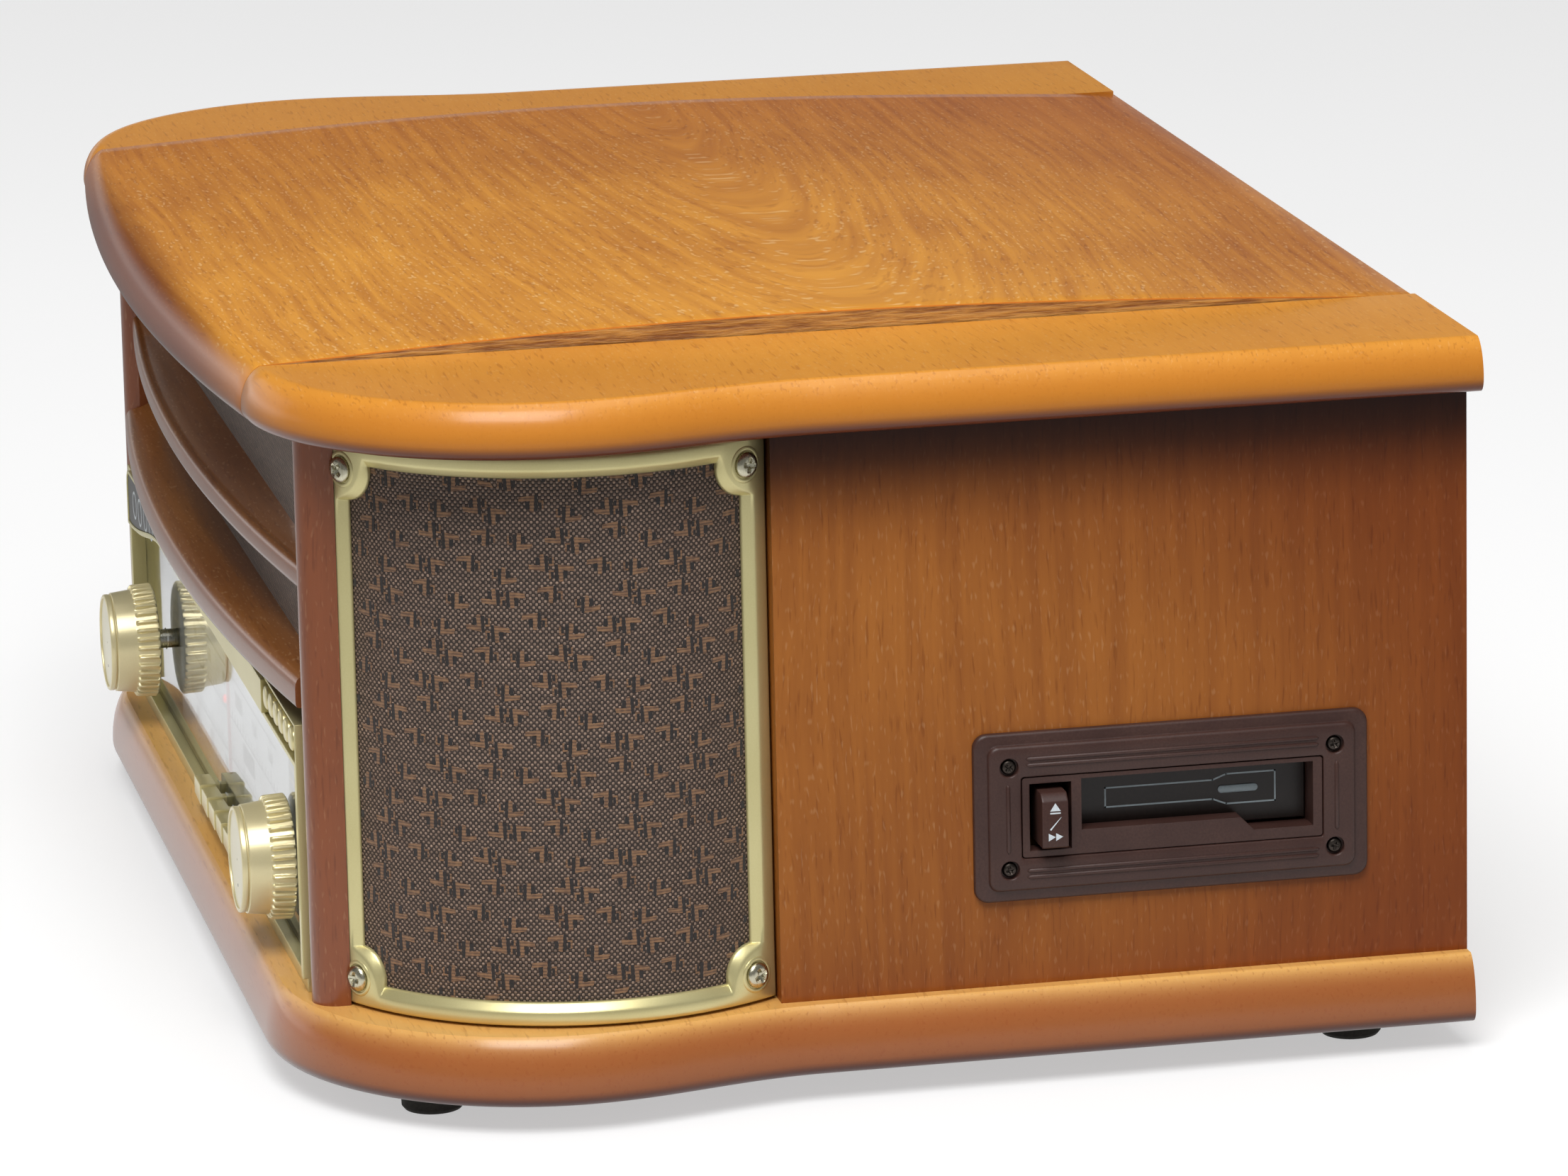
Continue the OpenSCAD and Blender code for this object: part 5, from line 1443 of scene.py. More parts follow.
@dataclass
class FrontPanel:
    """Gold panel with dial, lens, drawer, knobs and buttons."""

    scale_y: float = -143.5
    knob_x: float = 134.4
    knob_z: float = 54.5
    volume_back: float = -151.4
    tuning_back: float = -148.4
    knob_len: float = 15.5
    knob_r: float = 18.0
    face_r: float = 15.2
    ribs: int = 38
    scale_back: float = -142.0
    # Push buttons: left end of the row, pitch, width, front, underside and top
    key_left: float = -26.4
    key_pitch: float = 15.4
    key_wide: float = 15.2
    key_front: float = -154.6
    key_low: float = 32.2
    key_high: float = 38.5
    # Oval buttons: middle of the first, pitch, height and front
    oval_x: float = 127.0
    oval_pitch: float = 9.6
    oval_z: float = 99.3
    oval_front: float = -152.9
    # The drawer's gold front ends here, in metres
    drawer_face_end: float = -0.1502

    def build(self) -> None:
        """Builds the knobs and the dial's print, and dresses the other pieces."""
        dress("front_bezel", GOLD_PAINT)
        dress("dial_window", ACRYLIC)
        dress("dial_scale", SILVER_PLATE)
        dress("dial_pointer", RED_PLASTIC)
        dress("display_lens", GLOSS_BLACK)
        dress("disc_mechanism", STEEL)
        dress("knob_controls", STEEL)
        self.drawer()
        self.dial_print()
        self.lens_rings()
        self.lamp()
        self.knob("volume", -1, self.volume_back)
        self.knob("tuning", 1, self.tuning_back)
        for i in range(5):
            self.key(i)
        for i in range(6):
            self.oval(i)

    def drawer(self) -> None:
        """The disc drawer keeps its solid: gold in front, black behind."""
        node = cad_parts["disc_drawer"]
        mesh = node.data
        mesh.materials.clear()
        mesh.materials.append(GOLD_PAINT.material())
        mesh.materials.append(DECK_BLACK.material())
        for face in mesh.polygons:
            face.material_index = 1 if face.center.y > self.drawer_face_end else 0
        LOG.info("disc_drawer keeps its solid")

    def knob(self, word: str, side: int, back: float) -> None:
        """A tapered knob with short ribs round its rear, a groove, a cap and a sunk face.

        Args:
            word: volume or tuning, the name of its body too.
            side: 1 right, -1 left.
            back: where its rear lies, front to back.
        """
        maker = MeshMaker(f"{word}_knob_moulded")
        rear_r, waist_r, waist = self.face_r + 1.9, self.face_r + 0.3, self.knob_len - 2.1
        rib_from, rib_to = 0.4, 7.2
        # Height of a rib at the steps of one pitch: the rib is 1 mm wide, the gap 1.9 mm
        wave = [0.0, 0.0, 0.0, 0.15, 0.85, 1.0, 1.0, 0.85, 0.15, 0.0, 0.0, 0.0]
        count = self.ribs * len(wave)

        def cone(depth: float) -> float:
            """Radius between the ribs."""
            return rear_r + (waist_r - rear_r) * depth / waist

        def rib(depth: float) -> float:
            """Height of a rib, a little more towards its front."""
            return self.knob_r - 0.35 * (depth - rib_from) / (rib_to - rib_from) - cone(depth)

        cap, face = self.knob_len, self.knob_len - 0.6
        stations = [(12.5, 0.0, 0.0), (rear_r - 0.5, 0.0, 0.0), (rear_r - 0.1, 0.15, 0.0),
                    (cone(0.4), 0.4, 0.5), (cone(0.8), 0.8, rib(0.8))]
        stations += [(cone(d), d, rib(d)) for d in (2.5, 4.4, 6.1)]
        stations += [(cone(6.7), 6.7, rib(6.7) * 0.86), (cone(7.0), 7.0, rib(7.0) * 0.5),
                     (cone(rib_to), rib_to, 0.0), (cone(7.6), 7.6, 0.0), (cone(10.5), 10.5, 0.0),
                     (cone(waist - 0.3), waist - 0.3, 0.0), (waist_r - 0.25, waist, 0.0),
                     (waist_r - 0.7, waist + 0.03, 0.0), (waist_r - 0.7, waist + 0.3, 0.0),
                     (self.face_r - 0.15, waist + 0.33, 0.0), (self.face_r, waist + 0.55, 0.0),
                     (self.face_r, cap - 0.55, 0.0), (self.face_r - 0.17, cap - 0.17, 0.0),
                     (self.face_r - 0.5, cap, 0.0), (self.face_r - 1.0, cap, 0.0),
                     (self.face_r - 1.2, cap - 0.12, 0.0), (self.face_r - 1.3, face + 0.1, 0.0),
                     (self.face_r - 1.5, face, 0.0)]

        def ring(r: float, depth: float, height: float) -> list[Point3]:
            """One ring of the knob, with its ribs.

            Args:
                r: radius outside the ribs.
                depth: how far out from the panel.
                height: how deep the ribs are.

            Returns:
                Points going round the knob.
            """
            points = []
            for k in range(count):
                a = math.tau * k / count
                rho = r + height * wave[k % len(wave)]
                points.append((side * self.knob_x + rho * math.cos(a), back - depth,
                               self.knob_z + rho * math.sin(a)))
            return points

        maker.loft([ring(*s) for s in stations], caps=False)
        edge = self.face_r - 1.5
        maker.loft([ring(12.5, 0.0, 0.0), ring(3.2, 0.0, 0.0)], caps=False)
        maker.loft([ring(r, face, 0.0) for r in (edge, 10.0, 6.0, 2.0, 0.3)], caps=False, slot=1)
        # A small dimple below the middle marks where the knob points
        maker.loft([[(side * self.knob_x + x, back - face + d, self.knob_z - 7.6 + z)
                     for x, z in circle(0.5, 16)] for d in (0.1, -0.02)], slot=2)
        piece = maker.make([GOLD_KNOB, KNOB_FACE, BLACK_INK], smooth_deg=32)
        place(piece, word, "gold_plastic", f"{word}_knob")
        shaft = MeshMaker(f"{word}_knob_shaft")
        rings = []
        for y, r in ((back + 0.1, 3.0), (self.scale_back + 10.5, 3.0),
                     (self.scale_back + 11.0, 2.5)):
            rings.append([(side * self.knob_x + x, y, self.knob_z + z) for x, z in circle(r, 32)])
        shaft.loft(rings)
        place(shaft.make([STEEL]), word, "steel")

    def key(self, index: int) -> None:
        """A push button whose right end stands proud of the next one, with its stem.

        Args:
            index: its place in the row, from the left.
        """
        maker = MeshMaker(f"push_button_{index + 1}_moulded")
        x0 = self.key_left + self.key_pitch * index
        x1 = x0 + self.key_wide
        front, low, high = self.key_front, self.key_low, self.key_high
        rear = front + 5.1
        fall, skew, soft = 0.7, 0.4, 0.35
        rings = []
        for k in range(9):
            left = 1 - k / 8
            y, z = front + skew * left, high - fall * left
            rings.append([(x0 + (x1 - x0) * k / 8, a, b) for a, b in (
                (rear, low), (y + soft, low), (y + 0.1, low + 0.1), (y, low + soft),
                (y, z - 0.6), (y + 0.15, z - 0.2), (y + 0.5, z), (rear, z))])
        maker.loft(rings)
        middle = (x0 + x1) / 2
        box_into(maker, (middle - 2, front + 4.6, low + 1.65), (middle + 2, -139.0, low + 4.65))
        piece = maker.make([GOLD_KEY], bevel_mm=0.22, bevel_deg=60)
        place(piece, f"key_{index + 1}", "gold_plastic", f"push_button_{index + 1}")

    def oval(self, index: int) -> None:
        """An oval button with a domed face, with its stem.

        Args:
            index: its place in the row, from the left.
        """
        maker = MeshMaker(f"oval_button_{index + 1}_moulded")
        x, z, y = self.oval_x + self.oval_pitch * index, self.oval_z, self.oval_front
        outline = []
        for k in range(40):
            a = math.tau * k / 40
            push = 0.8 if math.cos(a) >= 0 else -0.8
            outline.append((push, math.cos(a), math.sin(a)))
        rings = []
        for share, depth in ((1.0, 2.8), (1.0, 0.9), (0.97, 0.55), (0.88, 0.3), (0.7, 0.1),
                             (0.4, 0.0), (0.15, 0.0)):
            rings.append([(x + (p + 3.3 * c) * share, y + depth, z + 3.3 * s * share)
                          for p, c, s in outline])
        maker.loft(rings)
        box_into(maker, (x - 2, y + 2.5, z - 1.5), (x + 2, y + 11.5, z + 1.5))
        piece = maker.make([GOLD_KEY], smooth_deg=40)
        place(piece, f"oval_{index + 1}", "gold_plastic", f"oval_button_{index + 1}")

    def dial_print(self) -> None:
        """The dial's printed bars, graduations and numbers, on its silver plate."""
        y1 = self.scale_y
        y0 = y1 - 0.08
        black = MeshMaker("dial_print_black")
        gold = MeshMaker("dial_print_gold")
        for side in (-1, 1):
            low, high = sorted((side * 118.0, side * 176.5))
            box_into(black, (low, y0, 34.0), (high, y1, 79.5))
            for k in range(7):
                x = side * (165.5 + 1.6 * k)
                box_into(gold, (x - 0.4, y0 - 0.05, 36.0), (x + 0.4, y0, 78.5))
            for k in range(12):
                z = 37.0 + 3.6 * k
                a, b = sorted((side * 119.5, side * 131.0))
                box_into(gold, (a, y0 - 0.05, z), (b, y0, z + 0.8))
        for z in (48.0, 61.0, 74.5):
            box_into(black, (-92.0, y0, z), (92.0, y1, z + 0.5))
        for row, step in ((48.5, 4.6), (61.5, 5.75)):
            count = int(184 / step)
            for k in range(count + 1):
                x = -92 + step * k
                tall = 4.0 if k % 5 == 0 else 2.2
                box_into(black, (x - 0.25, y0, row), (x + 0.25, y1, row + tall))
        # Two plain dark panes in the middle of the scale
        for low, high in (((22.0, 53.5), (45.0, 59.5)), ((8.0, 67.0), (22.0, 72.0))):
            box_into(black, (low[0], y0, low[1]), (high[0], y1, high[1]))
        place(black.make([BLACK_INK]), "cabinet", "scale_paper")
        place(gold.make([GOLD_INK]), "cabinet", "scale_paper")
        rows = ((41.5, ("88", "92", "96", "100", "104", "108")),
                (67.5, ("54", "65", "80", "100", "130", "160")))
        for z, words in rows:
            for k, word in enumerate(words):
                if z > 60 and k == 3:
                    continue
                self.number(word, -80 + 32 * k, z)

    def number(self, word: str, x: float, z: float) -> None:
        """One plain number on the dial, as a thin mesh.

        Args:
            word: the digits.
            x: place along the dial.
            z: height.
        """
        curve = bpy.data.curves.new(f"dial_number_{word}_{int(z)}", "FONT")
        curve.body = word
        curve.size = 6.2 * MM
        curve.extrude = 0.04 * MM
        curve.align_x = "CENTER"
        text = bpy.data.objects.new(curve.name, curve)
        bpy.context.scene.collection.objects.link(text)
        text.matrix_world = (Matrix.Translation((x * MM, (self.scale_y - 0.05) * MM, z * MM))
                             @ Matrix.Rotation(math.pi / 2, 4, "X"))
        bpy.context.view_layer.update()
        seen = bpy.context.evaluated_depsgraph_get()
        mesh = bpy.data.meshes.new_from_object(text.evaluated_get(seen), depsgraph=seen)
        mesh.transform(text.matrix_world)
        mesh.materials.clear()
        mesh.materials.append(BLACK_INK.material())
        name = curve.name
        bpy.data.objects.remove(text)
        piece = bpy.data.objects.new(f"{name}_print", mesh)
        bpy.context.scene.collection.objects.link(piece)
        place(piece, "cabinet", "scale_paper")

    def lens_rings(self) -> None:
        """Four plain silver rings printed on the black lens."""
        maker = MeshMaker("lens_rings_print")
        for x, z in ((-160.0, 92.3), (-147.5, 92.6), (-134.0, 94.0), (-120.5, 94.0)):
            rings = []
            for k in range(41):
                a = math.tau * k / 40
                rings.append([(x + r * math.cos(a), y, z + r * math.sin(a))
                              for r, y in ((3.7, -152.8), (3.7, -152.86), (4.5, -152.86),
                                           (4.5, -152.8))])
            maker.loft(rings, closed=False, caps=False)
        place(maker.make([SILVER_INK]), "cabinet", "black_plastic")

    def lamp(self) -> None:
        """A small red lamp in the dial plate."""
        maker = MeshMaker("dial_lamp_red")
        rings = []
        for share, depth in ((1.0, 0.0), (1.0, 0.3), (0.8, 0.6), (0.45, 0.8), (0.1, 0.85)):
            rings.append([(-14.4 + x, self.scale_y - depth, 64.0 + z)
                          for x, z in circle(1.4 * share, 24)])
        maker.loft(rings)
        place(maker.make([RED_LAMP], smooth_deg=60), "cabinet", "red_pointer")


def rounded_loop(width: float, height: float, r: float, x: float, y: float,
                 z: float) -> list[Point3]:
    """A rounded rectangle on the side wall, always with the same number of points.

    Args:
        width: its size front to back.
        height: its size up and down.
        r: radius of its corners.
        x: how far out it lies.
        y: its middle, front to back.
        z: its middle, up and down.

    Returns:
        Its points, going round once.
    """
    points = []
    for sy, sz, start in ((1, 1, 0), (-1, 1, 90), (-1, -1, 180), (1, -1, 270)):
        for k in range(9):
            a = math.radians(start + 90 * k / 8)
            points.append((x, y + sy * (width / 2 - r) + r * math.cos(a),
                           z + sz * (height / 2 - r) + r * math.sin(a)))
    return points


@dataclass
class CassetteDeck:
    """Bezel, screws, flap and lever of the cassette slot in the right side."""

    wall: float = 228.1
    y: float = 86.1
    z: float = 76.0
    lever_y: float = 51.1

    def build(self) -> None:
        """Builds the bezel and its small pieces."""
        self.bezel()
        self.screws()
        self.flap()
        self.lever()
        self.insert()

    def bezel(self) -> None:
        """The flange, the raised plate on it and the round ridges."""
        maker = MeshMaker("cassette_bezel_moulded")
        w = self.wall
        steps = [(113.0, 48.2, 4.0, w), (113.0, 48.2, 4.0, w + 1.2), (112.6, 47.8, 3.9, w + 1.6),
                 (111.8, 47.0, 3.7, w + 1.9), (110.8, 46.0, 3.5, w + 2.0),
                 (106.2, 42.5, 3.0, w + 2.0), (105.4, 41.7, 3.0, w + 2.15),
                 (105.1, 41.4, 3.0, w + 2.6), (104.8, 41.1, 2.9, w + 3.0),
                 (104.0, 40.3, 2.7, w + 3.35), (103.0, 39.3, 2.5, w + 3.5),
                 (87.6, 24.4, 1.2, w + 3.5), (86.9, 23.7, 1.0, w + 3.35),
                 (86.5, 23.3, 0.9, w + 2.9), (86.5, 23.3, 0.9, w)]
        rings = [rounded_loop(a, b, r, x, self.y, self.z) for a, b, r, x in steps]
        maker.loft(rings, caps=False)
        ends = (rings[0], rings[-1])
        rows = [maker.ring(r) for r in ends]
        count = len(rows[0])
        for j in range(count):
            k = (j + 1) % count
            maker.face((rows[0][j], rows[0][k], rows[1][k], rows[1][j]))
        piece = maker.make([MAROON], smooth_deg=40)
        cutter = MeshMaker("cassette_screw_seats")
        for y, z in self.screw_places():
            rings = []
            for x, r in ((w + 1.8, 2.6), (w + 3.2, 2.6), (w + 3.55, 2.9), (w + 5.0, 2.9)):
                rings.append([(x, y + a, z + b) for a, b in circle(r, 32)])
            cutter.loft(rings)
        cut_away(piece, cutter.make([MAROON]))
        place(piece, "cabinet", "maroon_plastic", "cassette_bezel")
        ridges = MeshMaker("cassette_bezel_ridges")
        for d in (-16.9, -15.1, 15.1, 16.9):
            self.ridge(ridges, (self.y - 42, self.z + d), (self.y + 42, self.z + d))
        for d in (-47.1, 47.1):
            self.ridge(ridges, (self.y + d, self.z - 10), (self.y + d, self.z + 10))
        place(ridges.make([MAROON], smooth_deg=60), "cabinet", "maroon_plastic")

    def ridge(self, maker: MeshMaker, start: Point2, end: Point2) -> None:
        """A half-round ridge between two points on the plate, with tapered ends.

        Args:
            maker: the mesh that it goes into.
            start: where it starts, as depth and height.
            end: where it ends.
        """
        run = Vector((end[0] - start[0], end[1] - start[1]))
        length = run.length
        run.normalize()
        cross = Vector((-run.y, run.x))
        rings = []
        for t, size in ((0.0, 0.1), (0.4, 0.6), (1.0, 1.0), (length - 1.0, 1.0),
                        (length - 0.4, 0.6), (length, 0.1)):
            ring = []
            for k in range(9):
                a = math.pi * k / 8
                off = 0.62 * size * math.cos(a)
                out = self.wall + 3.4 + 0.62 * size * math.sin(a)
                ring.append((out, start[0] + run.x * t + cross.x * off,
                             start[1] + run.y * t + cross.y * off))
            rings.append(ring)
        maker.loft(rings)

    def screw_places(self) -> list[Point2]:
        """Depth and height of the four screws."""
        return [(self.y + a * 46.65, self.z + b * 14.7) for a in (-1, 1) for b in (-1, 1)]

    def screws(self) -> None:
        """Dark pan-head screws, sunk in the bezel."""
        maker = MeshMaker("cassette_screw_heads")
        for k, (y, z) in enumerate(self.screw_places()):
            frame_of = Matrix(((0, 0, 1), (1, 0, 0), (0, 1, 0))).to_4x4()
            frame_of.translation = Vector((self.wall + 1.8, y, z))
            pan_head(maker, frame_of, 2.15, 1.3, 20 + 31 * k)
        place(maker.make([DARK_STEEL], smooth_deg=45), "cabinet", "dark_screw",
              "cassette_screws")

    def strip(self, maker: MeshMaker, points: Sequence[Point2], wide: float, x: float,
              slot: int = 0) -> None:
        """A thin printed line through points on a face that looks out of the side.

        Args:
            maker: the mesh that it goes into.
            points: points along the line, as depth and height.
            wide: width of the line.
            x: where it lies, out of the side.
            slot: material slot of the line.
        """
        for (y0, z0), (y1, z1) in zip(points, points[1:]):
            run = Vector((y1 - y0, z1 - z0))
            run.normalize()
            off = Vector((-run.y, run.x)) * wide / 2
            ext = run * wide / 2
            corner = [(y0 - ext.x + off.x, z0 - ext.y + off.y),
                      (y1 + ext.x + off.x, z1 + ext.y + off.y),
                      (y1 + ext.x - off.x, z1 + ext.y - off.y),
                      (y0 - ext.x - off.x, z0 - ext.y - off.y)]
            maker.loft([[(x, a, b) for a, b in corner], [(x + 0.06, a, b) for a, b in corner]],
                       slot=slot)

    def flap(self) -> None:
        """The hanging flap keeps its solid, with a printed outline and a raised bar on it."""
        dress("cassette_flap", FLAP_BLACK)
        x = self.wall - 5.0
        maker = MeshMaker("cassette_flap_print")
        outline = [(68.7, 80.7), (99.6, 80.7), (103.5, 82.2), (117.6, 82.2), (117.6, 73.6),
                   (103.5, 73.6), (99.6, 75.2), (68.7, 75.2), (68.7, 80.7)]
        self.strip(maker, outline, 0.45, x)
        place(maker.make([PALE_INK]), "flap", "black_plastic")
        bar = MeshMaker("cassette_flap_bar")
        rings = []
        for grow, out in ((0.0, 0.0), (0.0, 0.3), (-0.25, 0.5)):
            ring = []
            for k in range(24):
                a = math.tau * k / 24
                push = 4.7 if math.cos(a) >= 0 else -4.7
                ring.append((x + out, 106.8 + push + (1.05 + grow) * math.cos(a),
                             77.9 + (1.05 + grow) * math.sin(a)))
            rings.append(ring)
        bar.loft(rings)
        place(bar.make([PALE_INK], smooth_deg=50), "flap", "black_plastic")

    def lever(self) -> None:
        """The eject and wind lever: a block with a chamfered top, and its printed signs."""
        front = self.wall + 8.8
        y0, y1 = self.lever_y - 3.75, self.lever_y + 3.75
        z0, z1 = self.z - 7.75, self.z + 7.75
        maker = MeshMaker("cassette_lever_moulded")
        side = [(front - 14, z0), (front - 0.5, z0), (front, z0 + 0.5), (front, z1 - 2.4),
                (front - 0.3, z1 - 1.9), (front - 2.0, z1 - 0.2), (front - 2.6, z1),
                (front - 14, z1)]
        maker.loft([[(a, y, b) for a, b in side] for y in (y0, y0 + 0.4, y1 - 0.4, y1)])
        box_into(maker, (194.1, self.lever_y - 2, self.z - 3),
                 (front - 13, self.lever_y + 2, self.z + 3))
        piece = maker.make([MAROON], bevel_mm=0.35, bevel_deg=50)
        place(piece, "lever", "maroon_plastic", "cassette_lever")
        signs = MeshMaker("cassette_lever_signs")
        x = front - 0.03
        m = self.lever_y

        def patch(points: Sequence[Point2]) -> None:
            """Adds one printed area."""
            signs.loft([[(x, m + a, self.z + b) for a, b in points],
                        [(x + 0.07, m + a, self.z + b) for a, b in points]])

        patch([(-1.5, 2.9), (1.5, 2.9), (0.0, 5.2)])
        patch([(-1.5, 2.1), (1.5, 2.1), (1.5, 2.5), (-1.5, 2.5)])
        patch([(1.4, 0.9), (1.75, 1.15), (-1.3, -2.6), (-1.65, -2.3)])
        for shift in (-2.0, 0.1):
            patch([(shift, -5.6), (shift + 2.0, -4.5), (shift, -3.4)])
        place(signs.make([WHITE_INK]), "lever", "maroon_plastic")

    def insert(self) -> None:
        """The mechanism keeps its solid; its face is the maroon insert of the slot."""
        dress("cassette_mechanism", MAROON)


@dataclass
class Turntable:
    """Deck, platter, motor and arm under the lid."""

    def build(self) -> None:
        """Dresses the pieces under the lid."""
        dress("turntable_deck", DECK_BLACK)
        dress("platter", ALUMINIUM)
        dress("platter_mat", MAT_RUBBER)
        dress("turntable_motor", STEEL)
        dress("motor_pulley", BRASS)
        dress("drive_belt", RUBBER)
        dress("tonearm_pivot", ALUMINIUM)
        dress("tonearm", ALUMINIUM)
        dress("amplifier_board", SOLDER)
        dress("mains_inlet", DECK_BLACK)
        dress("lid_hinge_leaves", STEEL)
        dress("lid_hinge_straps", STEEL)


@dataclass
class Studio:
    """Floor, soft lamps, world and camera."""

    azimuth: float = 78.38
    elevation: float = 13.456
    roll: float = -1.227
    eye: Point3 = (2.3181, -0.4521, 0.6560)
    focal: float = 184.03
    floor_lift: float = 0.5
    fill: float = 0.24
    room: float = 0.22
    dark_end: float = 0.05

    def build(self) -> None:
        """Builds the studio."""
        self.floor()
        self.world()
        self.lamps()
        self.camera()

    def floor(self) -> None:
        """A wide pale floor that looks white to the camera but keeps the shadow."""
        mesh = bpy.data.meshes.new("floor")
        reach = 12.0
        mesh.from_pydata([(-reach, -reach, 0), (reach, -reach, 0), (reach, reach, 0),
                          (-reach, reach, 0)], [], [(0, 1, 2, 3)])
        piece = bpy.data.objects.new("floor", mesh)
        bpy.context.scene.collection.objects.link(piece)
        material = bpy.data.materials.new("floor_paper_white")
        material.use_nodes = True
        shader = material.node_tree.nodes["Principled BSDF"]
        tree = material.node_tree
        grain = add_node(tree, "ShaderNodeTexNoise", None, {"Scale": 40.0, "Detail": 2.0})
        tone = add_node(tree, "ShaderNodeMix", {"data_type": "RGBA"},
                        {0: grain.outputs[0], 6: srgb("#bfbfbf"), 7: srgb("#c6c6c6")})
        tree.links.new(tone.outputs[2], shader.inputs["Base Color"])
        shader.inputs["Roughness"].default_value = 0.9
        shader.inputs["Specular IOR Level"].default_value = 0.1
        path = add_node(tree, "ShaderNodeLightPath")
        # Gloss sees the lit paper round the object, and beyond it only the floor's own colour
        place = add_node(tree, "ShaderNodeTexCoord")
        off = add_node(tree, "ShaderNodeVectorMath", {"operation": "LENGTH"},
                       {0: place.outputs["Object"]})
        near = add_node(tree, "ShaderNodeMapRange", {"interpolation_type": "SMOOTHSTEP"},
                        {0: off.outputs["Value"], 1: 0.40, 2: 0.62, 3: 1.0, 4: 0.0})
        gloss = add_node(tree, "ShaderNodeMath", {"operation": "MULTIPLY"},
                         {0: path.outputs["Is Glossy Ray"], 1: near.outputs[0]})
        seen = add_node(tree, "ShaderNodeMath", {"operation": "MAXIMUM"},
                        {0: path.outputs["Is Camera Ray"], 1: gloss.outputs[0]})
        seen_all = add_node(tree, "ShaderNodeMath", {"operation": "MAXIMUM"},
                            {0: seen.outputs[0], 1: path.outputs["Is Transmission Ray"]})
        lift = add_node(tree, "ShaderNodeMath", {"operation": "MULTIPLY"},
                        {0: seen_all.outputs[0], 1: self.floor_lift})
        shader.inputs["Emission Color"].default_value = (1, 1, 1, 1)
        tree.links.new(lift.outputs[0], shader.inputs["Emission Strength"])
        mesh.materials.append(material)

    def world(self) -> None:
        """A dim room with a white paper backdrop behind the object.

        The camera sees white all round. Reflections see the paper behind the object, low down,
        and the dim room elsewhere.
        """
        world = bpy.data.worlds.new("studio")
        bpy.context.scene.world = world
        world.use_nodes = True
        tree = world.node_tree
        tree.nodes.clear()
        path = add_node(tree, "ShaderNodeLightPath")
        place = add_node(tree, "ShaderNodeTexCoord")
        way = add_node(tree, "ShaderNodeSeparateXYZ", None, {0: place.outputs["Generated"]})
        behind = add_node(tree, "ShaderNodeMapRange", {"interpolation_type": "SMOOTHSTEP"},
                          {0: way.outputs["X"], 1: -0.05, 2: -0.45, 3: 0.0, 4: 1.0})
        low = add_node(tree, "ShaderNodeMapRange", {"interpolation_type": "SMOOTHSTEP"},
                       {0: way.outputs["Z"], 1: 0.14, 2: 0.03, 3: 0.0, 4: 1.0})
        paper = add_node(tree, "ShaderNodeMath", {"operation": "MULTIPLY"},
                         {0: behind.outputs[0], 1: low.outputs[0]})
        room = add_node(tree, "ShaderNodeMapRange", None,
                        {0: behind.outputs[0], 1: 0.0, 2: 1.0, 3: self.room, 4: self.dark_end})
        mirrored = add_node(tree, "ShaderNodeMapRange", None,
                            {0: paper.outputs[0], 1: 0.0, 2: 1.0, 3: room.outputs[0], 4: 1.0})
        strength = add_node(tree, "ShaderNodeMix", {"data_type": "FLOAT"},
                            {0: path.outputs["Is Glossy Ray"], 2: self.fill,
                             3: mirrored.outputs[0]})
        lit = add_node(tree, "ShaderNodeBackground", None,
                       {"Color": (1, 1, 1, 1), "Strength": strength.outputs[0]})
        shown = add_node(tree, "ShaderNodeBackground", None,
                         {"Color": (1, 1, 1, 1), "Strength": 1.0})
        seen = add_node(tree, "ShaderNodeMath", {"operation": "MAXIMUM"},
                        {0: path.outputs["Is Camera Ray"], 1: path.outputs["Is Transmission Ray"]})
        both = add_node(tree, "ShaderNodeMixShader", None,
                        {0: seen.outputs[0], 1: lit.outputs[0], 2: shown.outputs[0]})
        out = add_node(tree, "ShaderNodeOutputWorld")
        tree.links.new(both.outputs[0], out.inputs[0])

    def lamp(self, name: str, at: Point3, target: Point3, size: Point2, power: float) -> None:
        """One soft box lamp, aimed at a point.

        Args:
            name: the lamp's name.
            at: where it stands, in metres.
            target: where it points.
            size: its width and height.
            power: its power in watts.
        """
        data = bpy.data.lights.new(name, "AREA")
        data.shape = "RECTANGLE"
        data.size, data.size_y = size
        data.energy = power
        lamp = bpy.data.objects.new(name, data)
        bpy.context.scene.collection.objects.link(lamp)
        lamp.location = at
        aim = Vector(target) - Vector(at)
        lamp.rotation_euler = aim.to_track_quat("-Z", "Y").to_euler()

    def lamps(self) -> None:
        """A high soft box on the right, one overhead and a weak one at the front left."""
        self.lamp("key_high_right", (1.5, -0.5, 2.4), (0.0, 0.0, 0.1), (1.5, 1.5), 64.0)
        self.lamp("overhead", (0.0, 0.2, 2.2), (0.0, 0.0, 0.1), (1.6, 1.0), 9.0)
        self.lamp("front_left", (-1.6, -1.6, 0.5), (0.0, -0.1, 0.1), (1.6, 1.2), 5.4)

    def camera(self) -> None:
        """The photograph's camera: a long lens at the right front corner, slightly rolled."""
        a, e, r = (math.radians(v) for v in (self.azimuth, self.elevation, self.roll))
        back = Vector((math.sin(a) * math.cos(e), -math.cos(a) * math.cos(e), math.sin(e)))
        right = (-back).cross(Vector((0, 0, 1))).normalized()
        up = right.cross(-back)
        turned_right = right * math.cos(r) + up * math.sin(r)
        turned_up = up * math.cos(r) - right * math.sin(r)
        data = bpy.data.cameras.new("camera")
        data.lens = self.focal
        data.sensor_width = 36.0
        data.sensor_fit = "HORIZONTAL"
        data.clip_end = 60.0
        camera = bpy.data.objects.new("camera", data)
        bpy.context.scene.collection.objects.link(camera)
        matrix = Matrix((turned_right, turned_up, back)).transposed().to_4x4()
        matrix.translation = Vector(self.eye)
        camera.matrix_world = matrix
        bpy.context.scene.camera = camera


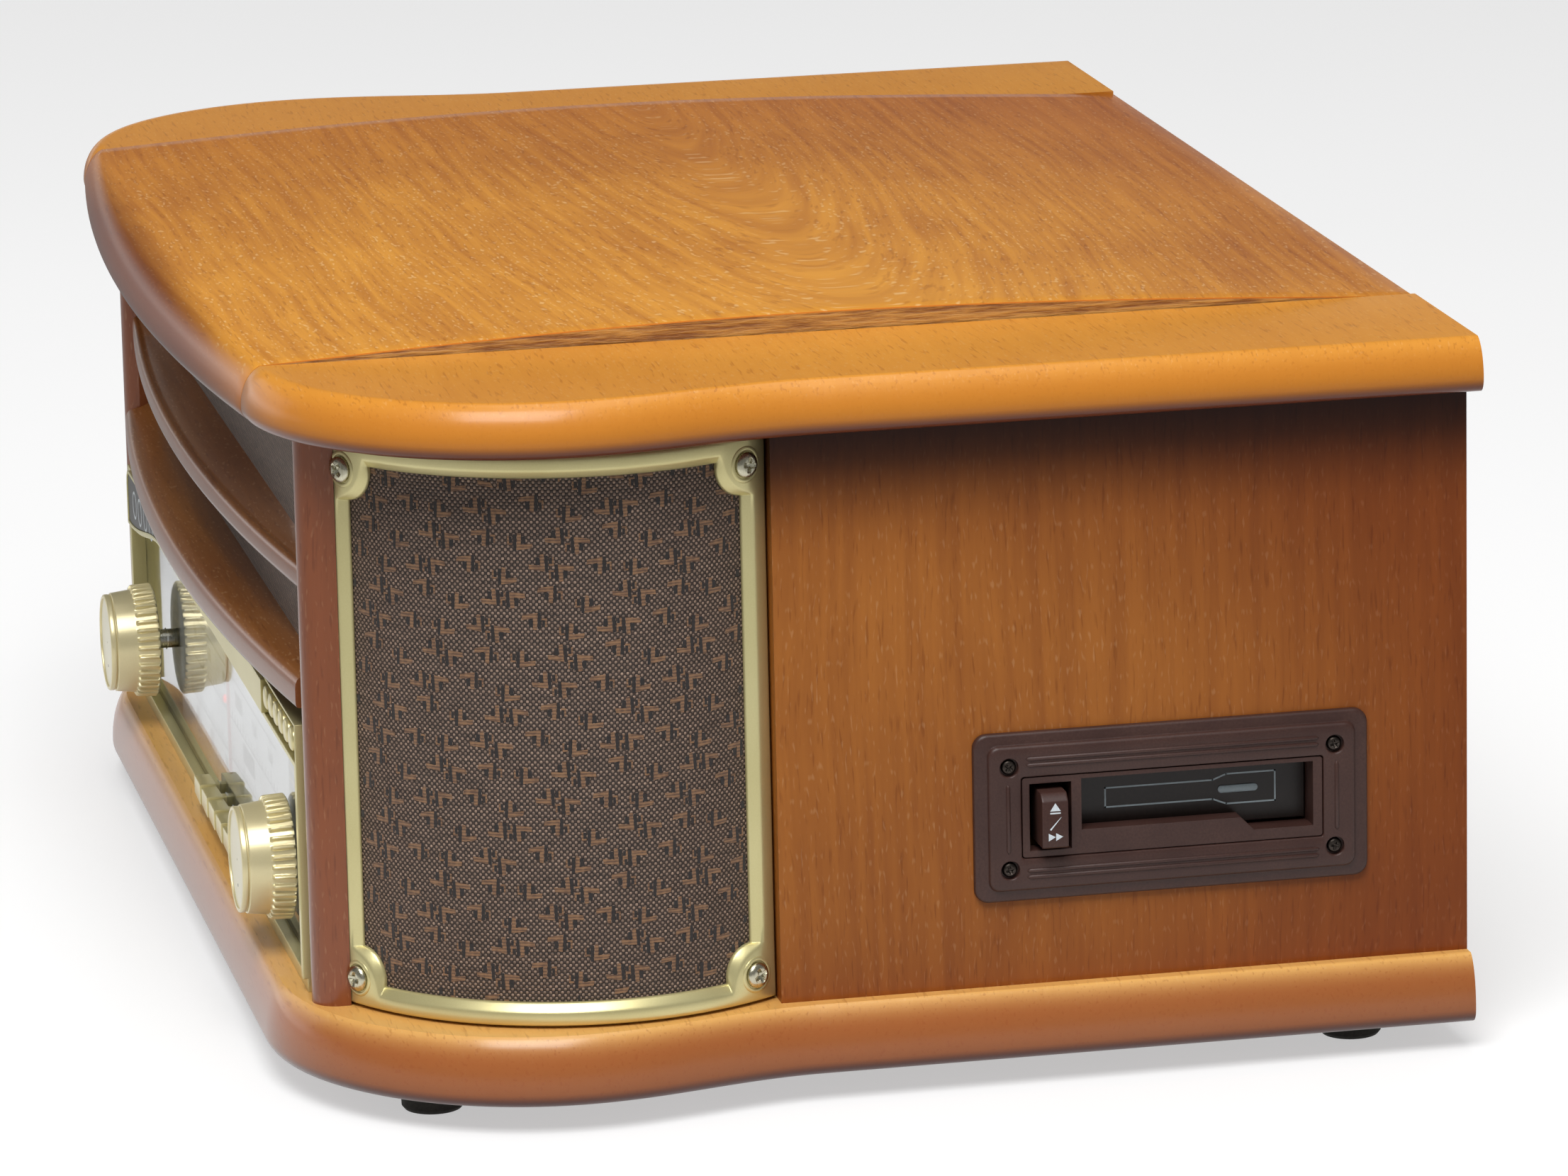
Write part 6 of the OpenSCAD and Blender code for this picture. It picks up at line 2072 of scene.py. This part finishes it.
def main() -> None:
    """Builds the studio and every sub-assembly."""
    logging.basicConfig(level=logging.INFO, format="%(message)s")
    scene = bpy.context.scene
    scene.view_settings.view_transform = "Standard"
    Studio().build()
    Cabinet().build()
    for side, word in ((1, "right"), (-1, "left")):
        SpeakerCorner(side, word).build()
    FrontPanel().build()
    CassetteDeck().build()
    Turntable().build()


if __name__ == "__main__":
    main()
